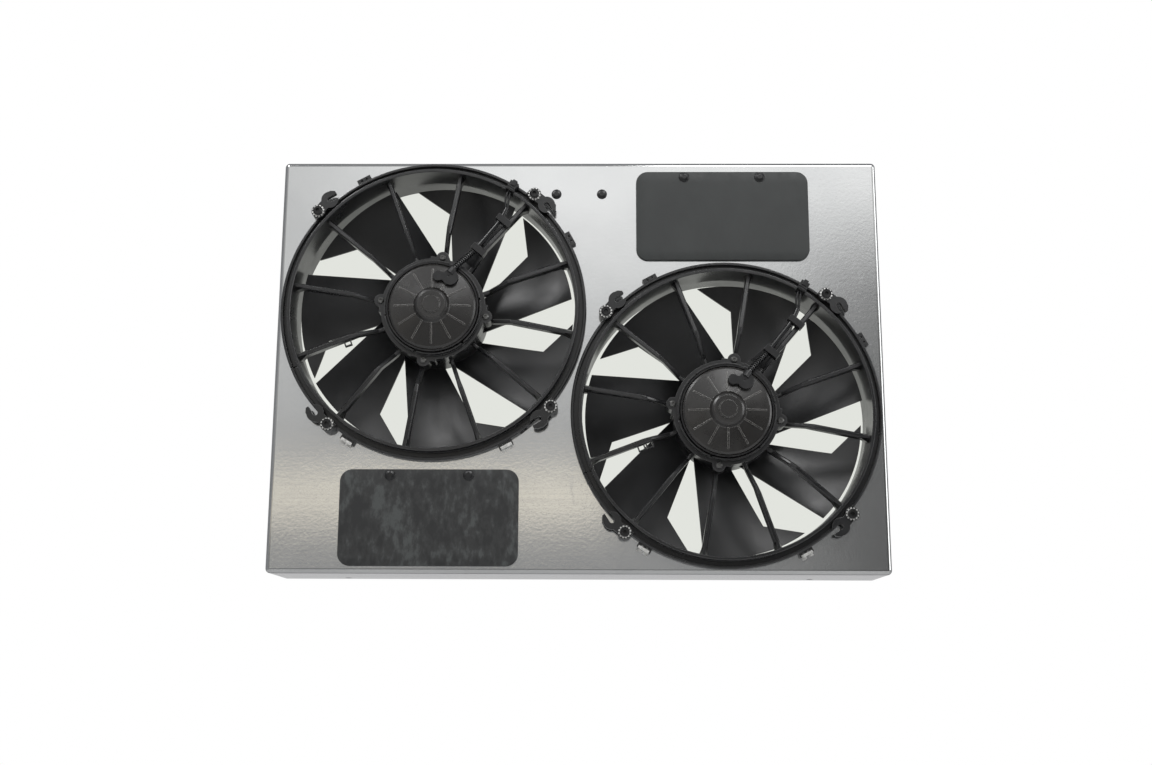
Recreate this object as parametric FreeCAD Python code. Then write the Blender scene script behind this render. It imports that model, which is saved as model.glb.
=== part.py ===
import FreeCAD, Part
import math
import os

from FreeCAD import Vector

os.makedirs("parts", exist_ok=True)

# Radiator fan shroud: a folded aluminium tray that carries two puller fans and two rubber ram-air flaps.
# Frame: millimetres. X runs across the radiator, Y from the engine side (-Y) to the radiator (+Y), Z is up.
# The origin is the centre of the tray's open rim, where the shroud meets the radiator. Pieces are drawn
# about the centre of the tray's front face and moved to that origin when they are saved. Angles on a fan
# are counted anticlockwise from +X, as seen from the engine side, and a fan's own features are built
# round the Y axis and then moved out to the fan's centre.

# ---------------------------------------------------------------- driving dimensions

# Tray
TRAY_WIDTH = 660.4
TRAY_HEIGHT = 457.2
TRAY_DEPTH = 88.9
SHEET = 2.0
BEND_RADIUS = 5.0
CHANNEL_HOLE_SPACING = 508.0
CHANNEL_HOLE_RADIUS = 3.4
CHANNEL_HOLE_INSET = 16.0

# Fans on the tray
FAN_X = 158.45
FAN_Z = 57.05

# Fan ring (the outer wall of the moulded fan frame)
RING_BORE = 154.5
RING_WALL = 3.0
RING_STEP_Y = 23.0
RING_STEP = 1.9
RING_REAR_Y = 52.0
RIM_HEIGHT = 16.0
RIM_THICKNESS = 3.6
GROOVE_FLOOR = 4.5
LIP_RADIUS = 166.8
LIP_THICKNESS = 3.4
LIP_HEIGHT = 8.5
LIP_NOTCH_ANGLE = 38.0
LIP_NOTCH_WIDTH = 15.0
LIP_NOTCH_DEPTH = 2.4
SPLIT_ANGLE = 203.5
SPLIT_WIDTH = 1.2
CUTOUT_CLEARANCE = 1.6

# Fixing ears on the ring
EAR_COUNT = 4
EAR_ANGLE = 49.7
EAR_CIRCLE = 169.0
EAR_BOSS_RADIUS = 7.5
EAR_TOP = 14.5
EAR_PLATE = 6.5
HOOK_OFFSET = 18.0
HOOK_RADIUS = 9.4
HOOK_SLOT = 5.6
EAR_SCREW_RADIUS = 2.4
EAR_SCREW_HEAD_RADIUS = 5.2
EAR_SCREW_HEAD = 3.6
EAR_HOLE_CLEARANCE = 0.4
STAR_RADIUS = 6.9
STAR_ROOT = 5.4
STAR_TEETH = 12
STAR_THICKNESS = 1.0
NUT_BORE_CLEARANCE = 0.1
NUT_HEIGHT = 6.0
NUT_FLANGE_RADIUS = 6.5
NUT_HEX_RADIUS = 5.2

# Clip tabs on the lip
TAB_ANGLES = (28.5, 118.5, 238.5, 298.5)
CLIPPED_TABS = (238.5, 298.5)
TAB_LENGTH = 16.0
TAB_REACH = 5.2
TAB_HEIGHT = 6.0
TAB_HOLE_RADIUS = 1.3
TAB_HOLE_SPACING = 5.6
CLIP_SHEET = 0.8
CLIP_LENGTH = 13.0
CLIP_GRIP = 4.6

# Struts
STRUT_COUNT = 12
STRUT_ANGLE = 20.0
STRUT_INNER_WIDTH = 4.4
STRUT_WIDTH = 5.4
STRUT_HUB_RADIUS = 64.0
STRUT_BEND_RADIUS = 86.0
STRUT_KNEE_RADIUS = 94.0
STRUT_FOOT_RADIUS = 146.0
STRUT_HUB_FRONT = 1.5
STRUT_HUB_REAR = 10.0
STRUT_KNEE_FRONT = -14.0
STRUT_KNEE_REAR = -4.0
STRUT_RIM_FRONT = -9.0
STRUT_RIM_REAR = 2.0
STRUT_FOOT_REAR = 18.0
STRUT_FOOT_SPREAD = 9.6
WIRE_LOOP_STRUT = 6
WIRE_LOOP_RADIUS = 99.0
WIRE_LOOP_SIZE = 8.0
WIRE_LOOP_WALL = 1.3

# Motor seat (the moulded middle of the fan frame)
SEAT_RADIUS = 57.0
SEAT_FRONT = 9.0
SEAT_REAR = 10.0
SEAT_WALL_INNER = 51.0
SEAT_WALL_OUTER = 52.6
SEAT_WALL_HEIGHT = 15.5
SEAT_WALL_GAPS = 6
SEAT_WALL_GAP = 3.0
LUG_COUNT = 4
LUG_ANGLE = 81.0
LUG_CIRCLE = 58.0
LUG_RADIUS = 7.0
LUG_SCREW_RADIUS = 2.0
LUG_SCREW_HEAD_RADIUS = 3.7
LUG_SCREW_HEAD = 2.6
TROUGH_OUTER = 90.0
TROUGH_WIDTH = 17.0
TROUGH_PLATE = 1.6

# Motor
CAN_RADIUS = 50.0
CAN_WALL = 1.8
CAN_REAR = 38.0
CRIMP_HEIGHT = 18.6
COVER_RADIUS = 47.4
COVER_EDGE_HEIGHT = 17.8
COVER_TOP_HEIGHT = 24.0
COVER_WALL = 2.2
BOSS_BASE_RADIUS = 20.0
BOSS_TOP_RADIUS = 15.5
BOSS_HEIGHT = 29.0
CAP_RADIUS = 10.0
CAP_HEIGHT = 31.4
COVER_RIBS = 12
COVER_RIB_WIDTH = 1.6
COVER_RIB_HEIGHT = 0.9
COVER_RIB_INNER = 21.5
COVER_RIB_OUTER = 41.5
SHAFT_RADIUS = 4.0
SHAFT_CLEARANCE = 0.02
BEARING_RADIUS = 11.0
BEARING_WIDTH = 7.0
ARMATURE_RADIUS = 39.0
ARMATURE_LENGTH = 26.0
COMMUTATOR_RADIUS = 12.0
COMMUTATOR_LENGTH = 9.0
MAGNET_COUNT = 4
MAGNET_THICKNESS = 6.0
MAGNET_LENGTH = 32.0
MAGNET_ARC = 74.0
BRUSH_PLATE = 2.0
BRUSH_WIDTH = 6.0
AIR_GAP = 1.0

# Impeller
BLADE_COUNT = 7
BLADE_PITCH_SHIFTS = (0.0, 1.8, 3.9, 1.2, -0.6, 0.9, 3.2)
BLADE_FIRST_ANGLE = 51.0
BLADE_TIP_GAP = 3.0
BLADE_TIP_RADIUS = RING_BORE - BLADE_TIP_GAP
BLADE_FRONT_EDGE = ((60.0, -19.9), (150.0, 4.2))
BLADE_REAR_ROOT = (60.0, 24.8)
BLADE_REAR_KNEE = (124.2, 33.7)
BLADE_TIP_CORNER = (BLADE_TIP_RADIUS, 48.8)
HUB_RADIUS = 56.0
HUB_WALL = 2.5
HUB_FRONT = 15.0
HUB_REAR = 50.0
HUB_BOSS_RADIUS = 11.0
BLADE_ROOT_FRONT = 23.0
BLADE_ROOT_REAR = 46.0
BLADE_TIP_FRONT = 20.5
BLADE_TIP_REAR = 38.0
BLADE_ROOT_THICKNESS = 3.4
BLADE_TIP_THICKNESS = 2.4
BLADE_CAMBER = 4.0
HUB_NUT_HEIGHT = 3.6
HUB_NUT_RADIUS = 7.5

# Motor lead
LEAD_RADIUS = 3.0
LEAD_ROUTE = (
    (46.5, 60.4, -23.4),
    (56.0, 59.0, -21.6),
    (67.0, 57.0, -16.6),
    (80.0, 55.2, -13.6),
    (103.0, 54.4, -12.8),
    (124.0, 53.8, -12.6),
    (138.0, 55.2, -12.0),
    (147.5, 57.4, -12.4),
    (155.9, 58.3, -12.8),
)
LEAD_CLAMP_RADII = (81.0, 124.0)
CLAMP_LENGTH = 7.0
CLAMP_WALL = 1.8
CONNECTOR_ANGLE = 58.3
CONNECTOR_WIDTH = 10.0
CONNECTOR_INNER = 156.0
CONNECTOR_LENGTH = 11.0
CONNECTOR_HEIGHT = 18.0
GROMMET_BIG_RADIUS = 8.6
GROMMET_SMALL_RADIUS = 5.6
GROMMET_HEIGHT = 26.4
GROMMET_CENTRE = (36.3, 57.5)
GROMMET_LOBE = (33.0, 79.0)

# Rubber flaps
FLAP_WIDTH = 190.5
FLAP_HEIGHT = 102.5
FLAP_THICKNESS = 3.0
FLAP_CORNER = 13.0
FLAP_Z = 167.4
FLAP_DROP = 2.4
FLAP_GAP = 0.3
SEATED_GAP = 0.05
HINGE_DROP = 14.5
WINDOW_WIDTH = 166.0
WINDOW_HEIGHT = 68.0
WINDOW_CORNER = 8.0
RIVET_SPACING = 83.8
RIVET_DROP = 6.3
RIVET_RADIUS = 3.0
RIVET_HEAD_RADIUS = 5.8
RIVET_HEAD = 2.2
RIVET_LENGTH = 10.0
RIVET_CLEARANCE = 0.15
PLUG_SPACING = 50.5
PLUG_Z = 191.0
PLUG_RADIUS = 3.6
PLUG_HEAD_RADIUS = 5.6
PLUG_HEAD = 2.0

# ---------------------------------------------------------------- helpers

ORIGIN = Vector(0, 0, 0)
AXIS = Vector(0, 1, 0)
LEFT_FAN = Vector(-FAN_X, 0, FAN_Z)
RIGHT_FAN = Vector(FAN_X, 0, -FAN_Z)
FANS = {"left": LEFT_FAN, "right": RIGHT_FAN}
RIM_CENTRE = Vector(0, -TRAY_DEPTH, 0)
OVER = 1.0


def polar(radius, angle, y=0.0):
    """The point at a radius and an angle round the Y axis."""
    turn = math.radians(angle)
    return Vector(radius * math.cos(turn), y, radius * math.sin(turn))


def turned(shape, angle):
    """A copy of a shape turned anticlockwise, as seen from the engine side."""
    copy = shape.copy()
    copy.rotate(ORIGIN, Vector(0, -1, 0), angle)
    return copy


def moved(shape, offset):
    """A copy of a shape moved by an offset."""
    copy = shape.copy()
    copy.translate(offset)
    return copy


def revolved(profile):
    """The solid made by turning an (r, y) outline round the Y axis."""
    points = [Vector(r, y, 0) for r, y in profile]
    face = Part.Face(Part.makePolygon(points + points[:1]))
    return face.revolve(ORIGIN, AXIS, 360)


def rod(radius, y0, y1, centre=ORIGIN):
    """A cylinder along Y between two depths."""
    return Part.makeCylinder(radius, y1 - y0, centre + Vector(0, y0, 0), AXIS)


def tube(outer, inner, y0, y1, centre=ORIGIN):
    """A hollow cylinder along Y between two depths."""
    return rod(outer, y0, y1, centre).cut(rod(inner, y0 - OVER, y1 + OVER, centre))


def block(r0, r1, t0, t1, y0, y1, angle):
    """A box along a radius: r0 to r1 outwards, t0 to t1 sideways, y0 to y1 deep."""
    box = Part.makeBox(r1 - r0, y1 - y0, t1 - t0, Vector(r0, y0, t0))
    return turned(box, angle)


def prism(points, y0, y1):
    """A prism along Y on an outline of (x, z) points."""
    outline = [Vector(x, y0, z) for x, z in points]
    face = Part.Face(Part.makePolygon(outline + outline[:1]))
    return face.extrude(Vector(0, y1 - y0, 0))


def rounded_plate(width, height, radius, y0, y1, x=0.0, z=0.0):
    """A plate with rounded corners, centred at (x, z)."""
    plate = Part.makeBox(width, y1 - y0, height, Vector(x - width / 2, y0, z - height / 2))
    corners = [e for e in plate.Edges if e.Length < (y1 - y0) + 1e-6 and is_along_y(e)]
    return plate.makeFillet(radius, corners)


def is_along_y(edge):
    """Whether an edge is a straight line along Y."""
    first, last = edge.Vertexes[0].Point, edge.Vertexes[-1].Point
    return abs(first.x - last.x) < 1e-6 and abs(first.z - last.z) < 1e-6


def capsule(radius, start, end, y0, y1):
    """A slot-shaped prism along Y with round ends at two (x, z) points."""
    run = Vector(end[0] - start[0], 0, end[1] - start[1])
    side = Vector(-run.z, 0, run.x).normalize() * radius
    a, b = Vector(start[0], y0, start[1]), Vector(end[0], y0, end[1])
    back, front = run.normalize() * -radius, run * radius
    sides = [Part.LineSegment(a + side, b + side), Part.LineSegment(b - side, a - side)]
    ends = [Part.Arc(b + side, b + front, b - side), Part.Arc(a - side, a + back, a + side)]
    wire = Part.Wire([sides[0].toShape(), ends[0].toShape(), sides[1].toShape(), ends[1].toShape()])
    return Part.Face(wire).extrude(Vector(0, y1 - y0, 0))


def hexagon(radius, y0, y1, centre=ORIGIN):
    """A hexagonal prism along Y, its corners at a radius."""
    points = [polar(radius, 60 * i) + centre for i in range(6)]
    return prism([(p.x, p.z) for p in points], y0, y1)


def fused(shapes):
    """One solid from several that meet, with its seams removed."""
    return shapes[0].multiFuse(shapes[1:]).removeSplitter()


def save(name, shape):
    """Write one piece to its STEP file."""
    moved(shape, RIM_CENTRE).exportStep("parts/%s.step" % name)


# ---------------------------------------------------------------- places shared by several pieces

FLAP_CENTRES = (("upper", FAN_X, FLAP_Z), ("lower", -FAN_X, -FLAP_Z))
EAR_ANGLES = [EAR_ANGLE + 360.0 / EAR_COUNT * i for i in range(EAR_COUNT)]
STRUT_ANGLES = [STRUT_ANGLE + 360.0 / STRUT_COUNT * i for i in range(STRUT_COUNT)]
LUG_ANGLES = [LUG_ANGLE + 360.0 / LUG_COUNT * i for i in range(LUG_COUNT)]
CUTOUT_RADIUS = RING_BORE + RING_STEP + RING_WALL + CUTOUT_CLEARANCE
EAR_HOLE_RADIUS = EAR_SCREW_RADIUS + EAR_HOLE_CLEARANCE
RIVET_HOLE_RADIUS = RIVET_RADIUS + RIVET_CLEARANCE
PLUG_HOLE_RADIUS = PLUG_RADIUS + RIVET_CLEARANCE
PLUG_PLACES = [Vector(side * PLUG_SPACING / 2, 0, PLUG_Z) for side in (-1, 1)]


def flap_top(z):
    """Height of a flap's upper edge, from the height of its window."""
    return z - FLAP_DROP + FLAP_HEIGHT / 2


def rivet_places():
    """The centres of the four push rivets on the tray's face."""
    places = []
    for _, x, z in FLAP_CENTRES:
        for side in (-1, 1):
            places.append(Vector(x + side * RIVET_SPACING / 2, 0, flap_top(z) - RIVET_DROP))
    return places


def ear_places():
    """The centres of the eight ear screws on the tray's face."""
    return [centre + polar(EAR_CIRCLE, a) for centre in FANS.values() for a in EAR_ANGLES]


# ---------------------------------------------------------------- tray


def shroud_tray():
    """The aluminium tray: rounded bends all round its face, four walls back to the radiator."""
    outer = Part.makeBox(TRAY_WIDTH, TRAY_DEPTH, TRAY_HEIGHT, Vector(-TRAY_WIDTH / 2, 0, -TRAY_HEIGHT / 2))
    outer = outer.makeFillet(BEND_RADIUS, bent_edges(outer, 0.0))
    inner = Part.makeBox(
        TRAY_WIDTH - 2 * SHEET,
        TRAY_DEPTH,
        TRAY_HEIGHT - 2 * SHEET,
        Vector(SHEET - TRAY_WIDTH / 2, SHEET, SHEET - TRAY_HEIGHT / 2),
    )
    inner = inner.makeFillet(BEND_RADIUS - SHEET, bent_edges(inner, SHEET))
    cuts = [rod(CUTOUT_RADIUS, -OVER, SHEET + OVER, centre) for centre in FANS.values()]
    cuts += [rod(EAR_HOLE_RADIUS, -OVER, SHEET + OVER, place) for place in ear_places()]
    cuts += [rod(RIVET_HOLE_RADIUS, -OVER, SHEET + OVER, place) for place in rivet_places()]
    cuts += [rod(PLUG_HOLE_RADIUS, -OVER, SHEET + OVER, place) for place in PLUG_PLACES]
    for _, x, z in FLAP_CENTRES:
        z_window = window_centre(z)
        size = (WINDOW_WIDTH, WINDOW_HEIGHT, WINDOW_CORNER)
        cuts.append(rounded_plate(*size, -OVER, SHEET + OVER, x, z_window))
    for side in (-1, 1):
        hole_y = TRAY_DEPTH - CHANNEL_HOLE_INSET
        start = Vector(side * CHANNEL_HOLE_SPACING / 2, hole_y, -TRAY_HEIGHT / 2 - OVER)
        cuts.append(Part.makeCylinder(CHANNEL_HOLE_RADIUS, TRAY_HEIGHT + 2 * OVER, start, Vector(0, 0, 1)))
    return outer.cut(inner).cut(Part.makeCompound(cuts))


def tray_parts():
    """The tray in two parts that meet at the bend lines: its flat face, and its bends with its walls."""
    tray = shroud_tray()
    width, height = TRAY_WIDTH - 2 * BEND_RADIUS, TRAY_HEIGHT - 2 * BEND_RADIUS
    flat = Part.makeBox(width, SHEET + 2 * OVER, height, Vector(-width / 2, -OVER, -height / 2))
    return tray.common(flat), tray.cut(flat)


def bent_edges(box, front):
    """The edges of a box that are bends: round its front face and along its four corners."""
    edges = []
    for edge in box.Edges:
        at_front = all(abs(v.Point.y - front) < 1e-6 for v in edge.Vertexes)
        if at_front or is_along_y(edge):
            edges.append(edge)
    return edges


def window_centre(z):
    """Height of a window's centre: its top edge lies just under the flap's hinge line."""
    return flap_top(z) - HINGE_DROP - 4 * FLAP_GAP - FLAP_THICKNESS - WINDOW_HEIGHT / 2


# ---------------------------------------------------------------- fan frame


def ring_profile():
    """The (r, y) outline of the ring: rim, groove, outer lip, and the stepped wall behind the tray."""
    wall = RING_BORE + RING_WALL
    rear_bore = RING_BORE + RING_STEP
    rear_wall = rear_bore + RING_WALL
    edge = 0.6
    return [
        (RING_BORE, edge - RIM_HEIGHT),
        (RING_BORE + edge, -RIM_HEIGHT),
        (RING_BORE + RIM_THICKNESS - edge, -RIM_HEIGHT),
        (RING_BORE + RIM_THICKNESS, edge - RIM_HEIGHT),
        (RING_BORE + RIM_THICKNESS, -GROOVE_FLOOR),
        (LIP_RADIUS - LIP_THICKNESS, -GROOVE_FLOOR),
        (LIP_RADIUS - LIP_THICKNESS, edge - LIP_HEIGHT),
        (LIP_RADIUS - LIP_THICKNESS + edge, -LIP_HEIGHT),
        (LIP_RADIUS - 2 * edge, -LIP_HEIGHT),
        (LIP_RADIUS, 2 * edge - LIP_HEIGHT),
        (LIP_RADIUS, 0),
        (wall, 0),
        (wall, RING_STEP_Y - RING_WALL),
        (rear_wall, RING_STEP_Y),
        (rear_wall, RING_REAR_Y),
        (rear_bore, RING_REAR_Y),
        (rear_bore, RING_STEP_Y),
        (RING_BORE, RING_STEP_Y - RING_STEP),
    ]


def ear():
    """One fixing ear at angle 0: a screw boss, and an arm that ends in an open hook."""
    top, bottom = -EAR_TOP, EAR_PLATE - EAR_TOP
    boss = rod(EAR_BOSS_RADIUS, top, 0, Vector(EAR_CIRCLE, 0, 0))
    root = LIP_RADIUS - LIP_THICKNESS
    arm = prism(
        [
            (root, EAR_BOSS_RADIUS),
            (EAR_CIRCLE, EAR_BOSS_RADIUS),
            (EAR_CIRCLE + 5.4, 4.0),
            (EAR_CIRCLE + 5.6, -HOOK_OFFSET),
            (EAR_CIRCLE - 4.5, -HOOK_OFFSET - 6.5),
            (root, -HOOK_OFFSET - 9.0),
        ],
        top,
        bottom,
    )
    eye = rod(HOOK_RADIUS, top, bottom, Vector(EAR_CIRCLE - 0.6, 0, -HOOK_OFFSET))
    finger = prism(
        [
            (EAR_CIRCLE + HOOK_RADIUS - 1.2, -HOOK_OFFSET - 1.0),
            (EAR_CIRCLE + 6.0, -HOOK_OFFSET - 8.0),
            (EAR_CIRCLE + 1.8, -HOOK_OFFSET - 11.2),
            (EAR_CIRCLE - 0.8, -HOOK_OFFSET - 10.4),
            (EAR_CIRCLE + 0.6, -HOOK_OFFSET - 2.0),
        ],
        top,
        bottom,
    )
    web = prism(
        [
            (root, EAR_BOSS_RADIUS),
            (EAR_CIRCLE - 1.0, EAR_BOSS_RADIUS),
            (EAR_CIRCLE - 1.0, -EAR_BOSS_RADIUS),
            (root, -EAR_BOSS_RADIUS - 6.0),
        ],
        top,
        -GROOVE_FLOOR,
    )
    slot_start = (EAR_CIRCLE - 0.6, -HOOK_OFFSET)
    slot_end = (EAR_CIRCLE - 6.0, -HOOK_OFFSET - 16.0)
    slot = capsule(HOOK_SLOT / 2, slot_start, slot_end, top - OVER, bottom + OVER)
    return fused([boss, arm, eye, finger, web]).cut(slot)


def clip_tab():
    """One tab at angle 0 with two small holes, for a spring clip."""
    root = LIP_RADIUS - LIP_THICKNESS
    tab = block(root, LIP_RADIUS + TAB_REACH, -TAB_LENGTH / 2, TAB_LENGTH / 2, -TAB_HEIGHT, 0, 0)
    for side in (-1, 1):
        place = Vector(LIP_RADIUS + TAB_REACH * 0.45, 0, side * TAB_HOLE_SPACING / 2)
        tab = tab.cut(rod(TAB_HOLE_RADIUS, -TAB_HEIGHT - OVER, OVER, place))
    return tab


def connector_pocket(margin):
    """The pocket in the rim and lip that takes the lead's connector."""
    half = CONNECTOR_WIDTH / 2 + margin
    return block(
        RING_BORE - OVER, LIP_RADIUS + OVER, -half, half, -RIM_HEIGHT - OVER, -GROOVE_FLOOR, CONNECTOR_ANGLE
    )


def fan_ring():
    """The ring with its lip, ears, clip tabs, lip notches, split line and connector pocket."""
    ring = revolved(ring_profile())
    additions = [turned(ear(), angle) for angle in EAR_ANGLES]
    additions += [turned(clip_tab(), angle) for angle in TAB_ANGLES]
    ring = fused([ring] + additions)
    cuts = [connector_pocket(FLAP_GAP)]
    cuts += [rod(EAR_HOLE_RADIUS, -EAR_TOP - OVER, OVER, polar(EAR_CIRCLE, angle)) for angle in EAR_ANGLES]
    half = LIP_NOTCH_WIDTH / 2
    for i in range(EAR_COUNT):
        angle = LIP_NOTCH_ANGLE + 360.0 / EAR_COUNT * i
        notch_floor = LIP_RADIUS - LIP_NOTCH_DEPTH
        cuts.append(block(notch_floor, LIP_RADIUS + OVER, -half, half * 0.2, -EAR_PLATE, OVER, angle))
    half_split = SPLIT_WIDTH / 2
    rim_outside = RING_BORE + RIM_THICKNESS * 0.5
    cuts.append(
        block(rim_outside, LIP_RADIUS + OVER, -half_split, half_split, -RIM_HEIGHT - OVER, -1.5, SPLIT_ANGLE)
    )
    return ring.cut(Part.makeCompound(cuts))


def strut_section(radius, half_width, front, rear, corner):
    """A six-sided strut section at a radius: flat behind, with its two front corners taken off."""
    return [
        Vector(radius, rear, -half_width),
        Vector(radius, front + corner, -half_width),
        Vector(radius, front, corner - half_width),
        Vector(radius, front, half_width - corner),
        Vector(radius, front + corner, half_width),
        Vector(radius, rear, half_width),
    ]


def strut_blank():
    """One strut at angle 0: low at the hub, a step up to its knee, and a flared foot on the ring."""
    inner, half = STRUT_INNER_WIDTH / 2, STRUT_WIDTH / 2
    corner = inner * 0.55
    foot = STRUT_FOOT_SPREAD / 2
    wall = RING_BORE + RING_WALL / 2
    sections = [
        strut_section(SEAT_RADIUS - 2.0, inner, STRUT_HUB_FRONT, STRUT_HUB_REAR, corner),
        strut_section(STRUT_HUB_RADIUS, inner, STRUT_HUB_FRONT, STRUT_HUB_REAR, corner),
        strut_section(STRUT_BEND_RADIUS, inner, STRUT_KNEE_FRONT + 0.5, STRUT_KNEE_REAR + 0.5, corner),
        strut_section(STRUT_KNEE_RADIUS, half, STRUT_KNEE_FRONT, STRUT_KNEE_REAR, corner),
        strut_section(STRUT_FOOT_RADIUS, half, STRUT_RIM_FRONT, STRUT_RIM_REAR, corner),
        [
            Vector(wall, STRUT_FOOT_REAR, -half),
            Vector(wall, 3.0, -foot),
            Vector(wall, STRUT_RIM_FRONT, corner - half),
            Vector(wall, STRUT_RIM_FRONT, half - corner),
            Vector(wall, 3.0, foot),
            Vector(wall, STRUT_FOOT_REAR, half),
        ],
    ]
    wires = [Part.makePolygon(points + points[:1]) for points in sections]
    strut = Part.makeLoft(wires, True, True)
    inside_ring = strut.common(rod(RING_BORE, -RIM_HEIGHT, RING_STEP_Y))
    return inside_ring.cut(rod(SEAT_RADIUS, -RIM_HEIGHT, RING_STEP_Y))


def strut_at(angle):
    """One strut in its place, ending clear of the motor's lugs."""
    lugs = [rod(LUG_RADIUS, -RIM_HEIGHT, RING_STEP_Y, polar(LUG_CIRCLE, lug)) for lug in LUG_ANGLES]
    return turned(strut_blank(), angle).cut(Part.makeCompound(lugs))


def wire_loop(index):
    """A small square eye on the side of a strut, for a tie."""
    centre = WIRE_LOOP_RADIUS - index * (WIRE_LOOP_SIZE + WIRE_LOOP_WALL)
    inside = WIRE_LOOP_SIZE / 2 - WIRE_LOOP_WALL
    t0 = STRUT_WIDTH / 2
    t1 = t0 + WIRE_LOOP_SIZE * 0.8
    front, rear = STRUT_KNEE_FRONT + 3.0, STRUT_KNEE_FRONT + 7.0
    eye = block(centre - WIRE_LOOP_SIZE / 2, centre + WIRE_LOOP_SIZE / 2, t0 - 0.5, t1, front, rear, 0)
    hole = block(centre - inside, centre + inside, t0, t1 - WIRE_LOOP_WALL, front - OVER, rear + OVER, 0)
    return eye.cut(hole)


def fan_struts(loops):
    """The twelve struts, one of them with eyes for a tie."""
    struts = [strut_at(angle) for angle in STRUT_ANGLES]
    eyes = [turned(wire_loop(i), STRUT_ANGLES[WIRE_LOOP_STRUT]) for i in range(loops)]
    struts[WIRE_LOOP_STRUT] = fused([struts[WIRE_LOOP_STRUT]] + eyes)
    return Part.makeCompound(struts)


def motor_seat():
    """The seat that holds the motor: a ring with a slotted wall, four lugs and a trough for the lead."""
    front = -SEAT_FRONT
    bore = CAN_RADIUS + FLAP_GAP
    seat = tube(SEAT_RADIUS, bore, front, SEAT_REAR)
    wall = tube(SEAT_WALL_OUTER, SEAT_WALL_INNER, -SEAT_WALL_HEIGHT, front)
    for i in range(SEAT_WALL_GAPS):
        half = SEAT_WALL_GAP / 2
        angle = 360.0 / SEAT_WALL_GAPS * i + STRUT_ANGLE / 2
        wall = wall.cut(block(bore, SEAT_RADIUS, -half, half, -SEAT_WALL_HEIGHT - OVER, front - OVER, angle))
    lugs = []
    for angle in LUG_ANGLES:
        centre = polar(LUG_CIRCLE, angle)
        lug = rod(LUG_RADIUS, front, SEAT_REAR, centre)
        lug = lug.fuse(block(bore + OVER, LUG_CIRCLE, -LUG_RADIUS, LUG_RADIUS + 6, front, SEAT_REAR, angle))
        lugs.append(lug)
    blank = fused([seat, wall] + lugs).cut(rod(bore, -SEAT_WALL_HEIGHT, SEAT_REAR + OVER))
    strut_room = [strut_at(angle) for angle in STRUT_ANGLES]
    holes = [rod(LUG_SCREW_RADIUS, front - OVER, SEAT_REAR + OVER, polar(LUG_CIRCLE, a)) for a in LUG_ANGLES]
    return blank.cut(Part.makeCompound(strut_room)).cut(Part.makeCompound(holes))


def lead_trough():
    """The narrow sloping tray under the lead, beside its strut, between the seat and the first clamp."""
    lead_strut = STRUT_ANGLES[1]
    t0 = STRUT_INNER_WIDTH / 2
    root, low, high = SEAT_RADIUS - 2.0, STRUT_HUB_FRONT + TROUGH_PLATE, STRUT_KNEE_FRONT + 5.0
    bends = [(root, low), (STRUT_HUB_RADIUS, low), (STRUT_BEND_RADIUS, high), (TROUGH_OUTER, high)]
    side = [Vector(r, y, 0) for r, y in bends] + [Vector(r, y + TROUGH_PLATE, 0) for r, y in reversed(bends)]
    plate = Part.Face(Part.makePolygon(side + side[:1])).extrude(Vector(0, 0, t0 + TROUGH_WIDTH))
    plan = prism(
        [(root, t0), (TROUGH_OUTER, t0), (TROUGH_OUTER, t0 + TROUGH_WIDTH * 0.55), (root, t0 + TROUGH_WIDTH)],
        high - OVER,
        low + TROUGH_PLATE + OVER,
    )
    plate = turned(plate.common(plan), lead_strut).cut(rod(SEAT_RADIUS, -RIM_HEIGHT, RING_STEP_Y))
    return plate.cut(turned(strut_blank(), lead_strut))


# ---------------------------------------------------------------- motor


def cover_profile():
    """The (r, y) outline of the front cover: dished face, raised boss, centre cap and hollow inside."""
    inner = COVER_WALL
    bearing_floor = BEARING_WIDTH - BOSS_HEIGHT + COVER_WALL
    return [
        (0, -CAP_HEIGHT),
        (CAP_RADIUS - 1.0, -CAP_HEIGHT),
        (CAP_RADIUS, 1.0 - CAP_HEIGHT),
        (CAP_RADIUS, -BOSS_HEIGHT),
        (BOSS_TOP_RADIUS - 0.8, -BOSS_HEIGHT),
        (BOSS_TOP_RADIUS + 1.4, 1.2 - BOSS_HEIGHT),
        (BOSS_BASE_RADIUS - 0.8, -COVER_TOP_HEIGHT - 0.8),
        (BOSS_BASE_RADIUS, -COVER_TOP_HEIGHT),
        (COVER_RADIUS - 2.4, -COVER_EDGE_HEIGHT - 1.6),
        (COVER_RADIUS, -COVER_EDGE_HEIGHT),
        (COVER_RADIUS, -SEAT_FRONT),
        (COVER_RADIUS - inner, -SEAT_FRONT),
        (COVER_RADIUS - inner, inner - COVER_EDGE_HEIGHT),
        (BOSS_BASE_RADIUS - 2.0, inner - COVER_TOP_HEIGHT + 1.2),
        (BEARING_RADIUS + 3.0, inner - COVER_TOP_HEIGHT + 1.2),
        (BEARING_RADIUS + 3.0, bearing_floor),
        (BEARING_RADIUS, bearing_floor),
        (BEARING_RADIUS, COVER_WALL - BOSS_HEIGHT),
        (0, COVER_WALL - BOSS_HEIGHT),
    ]


def cover_face_height(radius):
    """Height of the dished face of the motor cover at a radius."""
    share = (radius - BOSS_BASE_RADIUS) / (COVER_RADIUS - 2.4 - BOSS_BASE_RADIUS)
    return COVER_TOP_HEIGHT + share * (COVER_EDGE_HEIGHT + 1.6 - COVER_TOP_HEIGHT)


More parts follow.
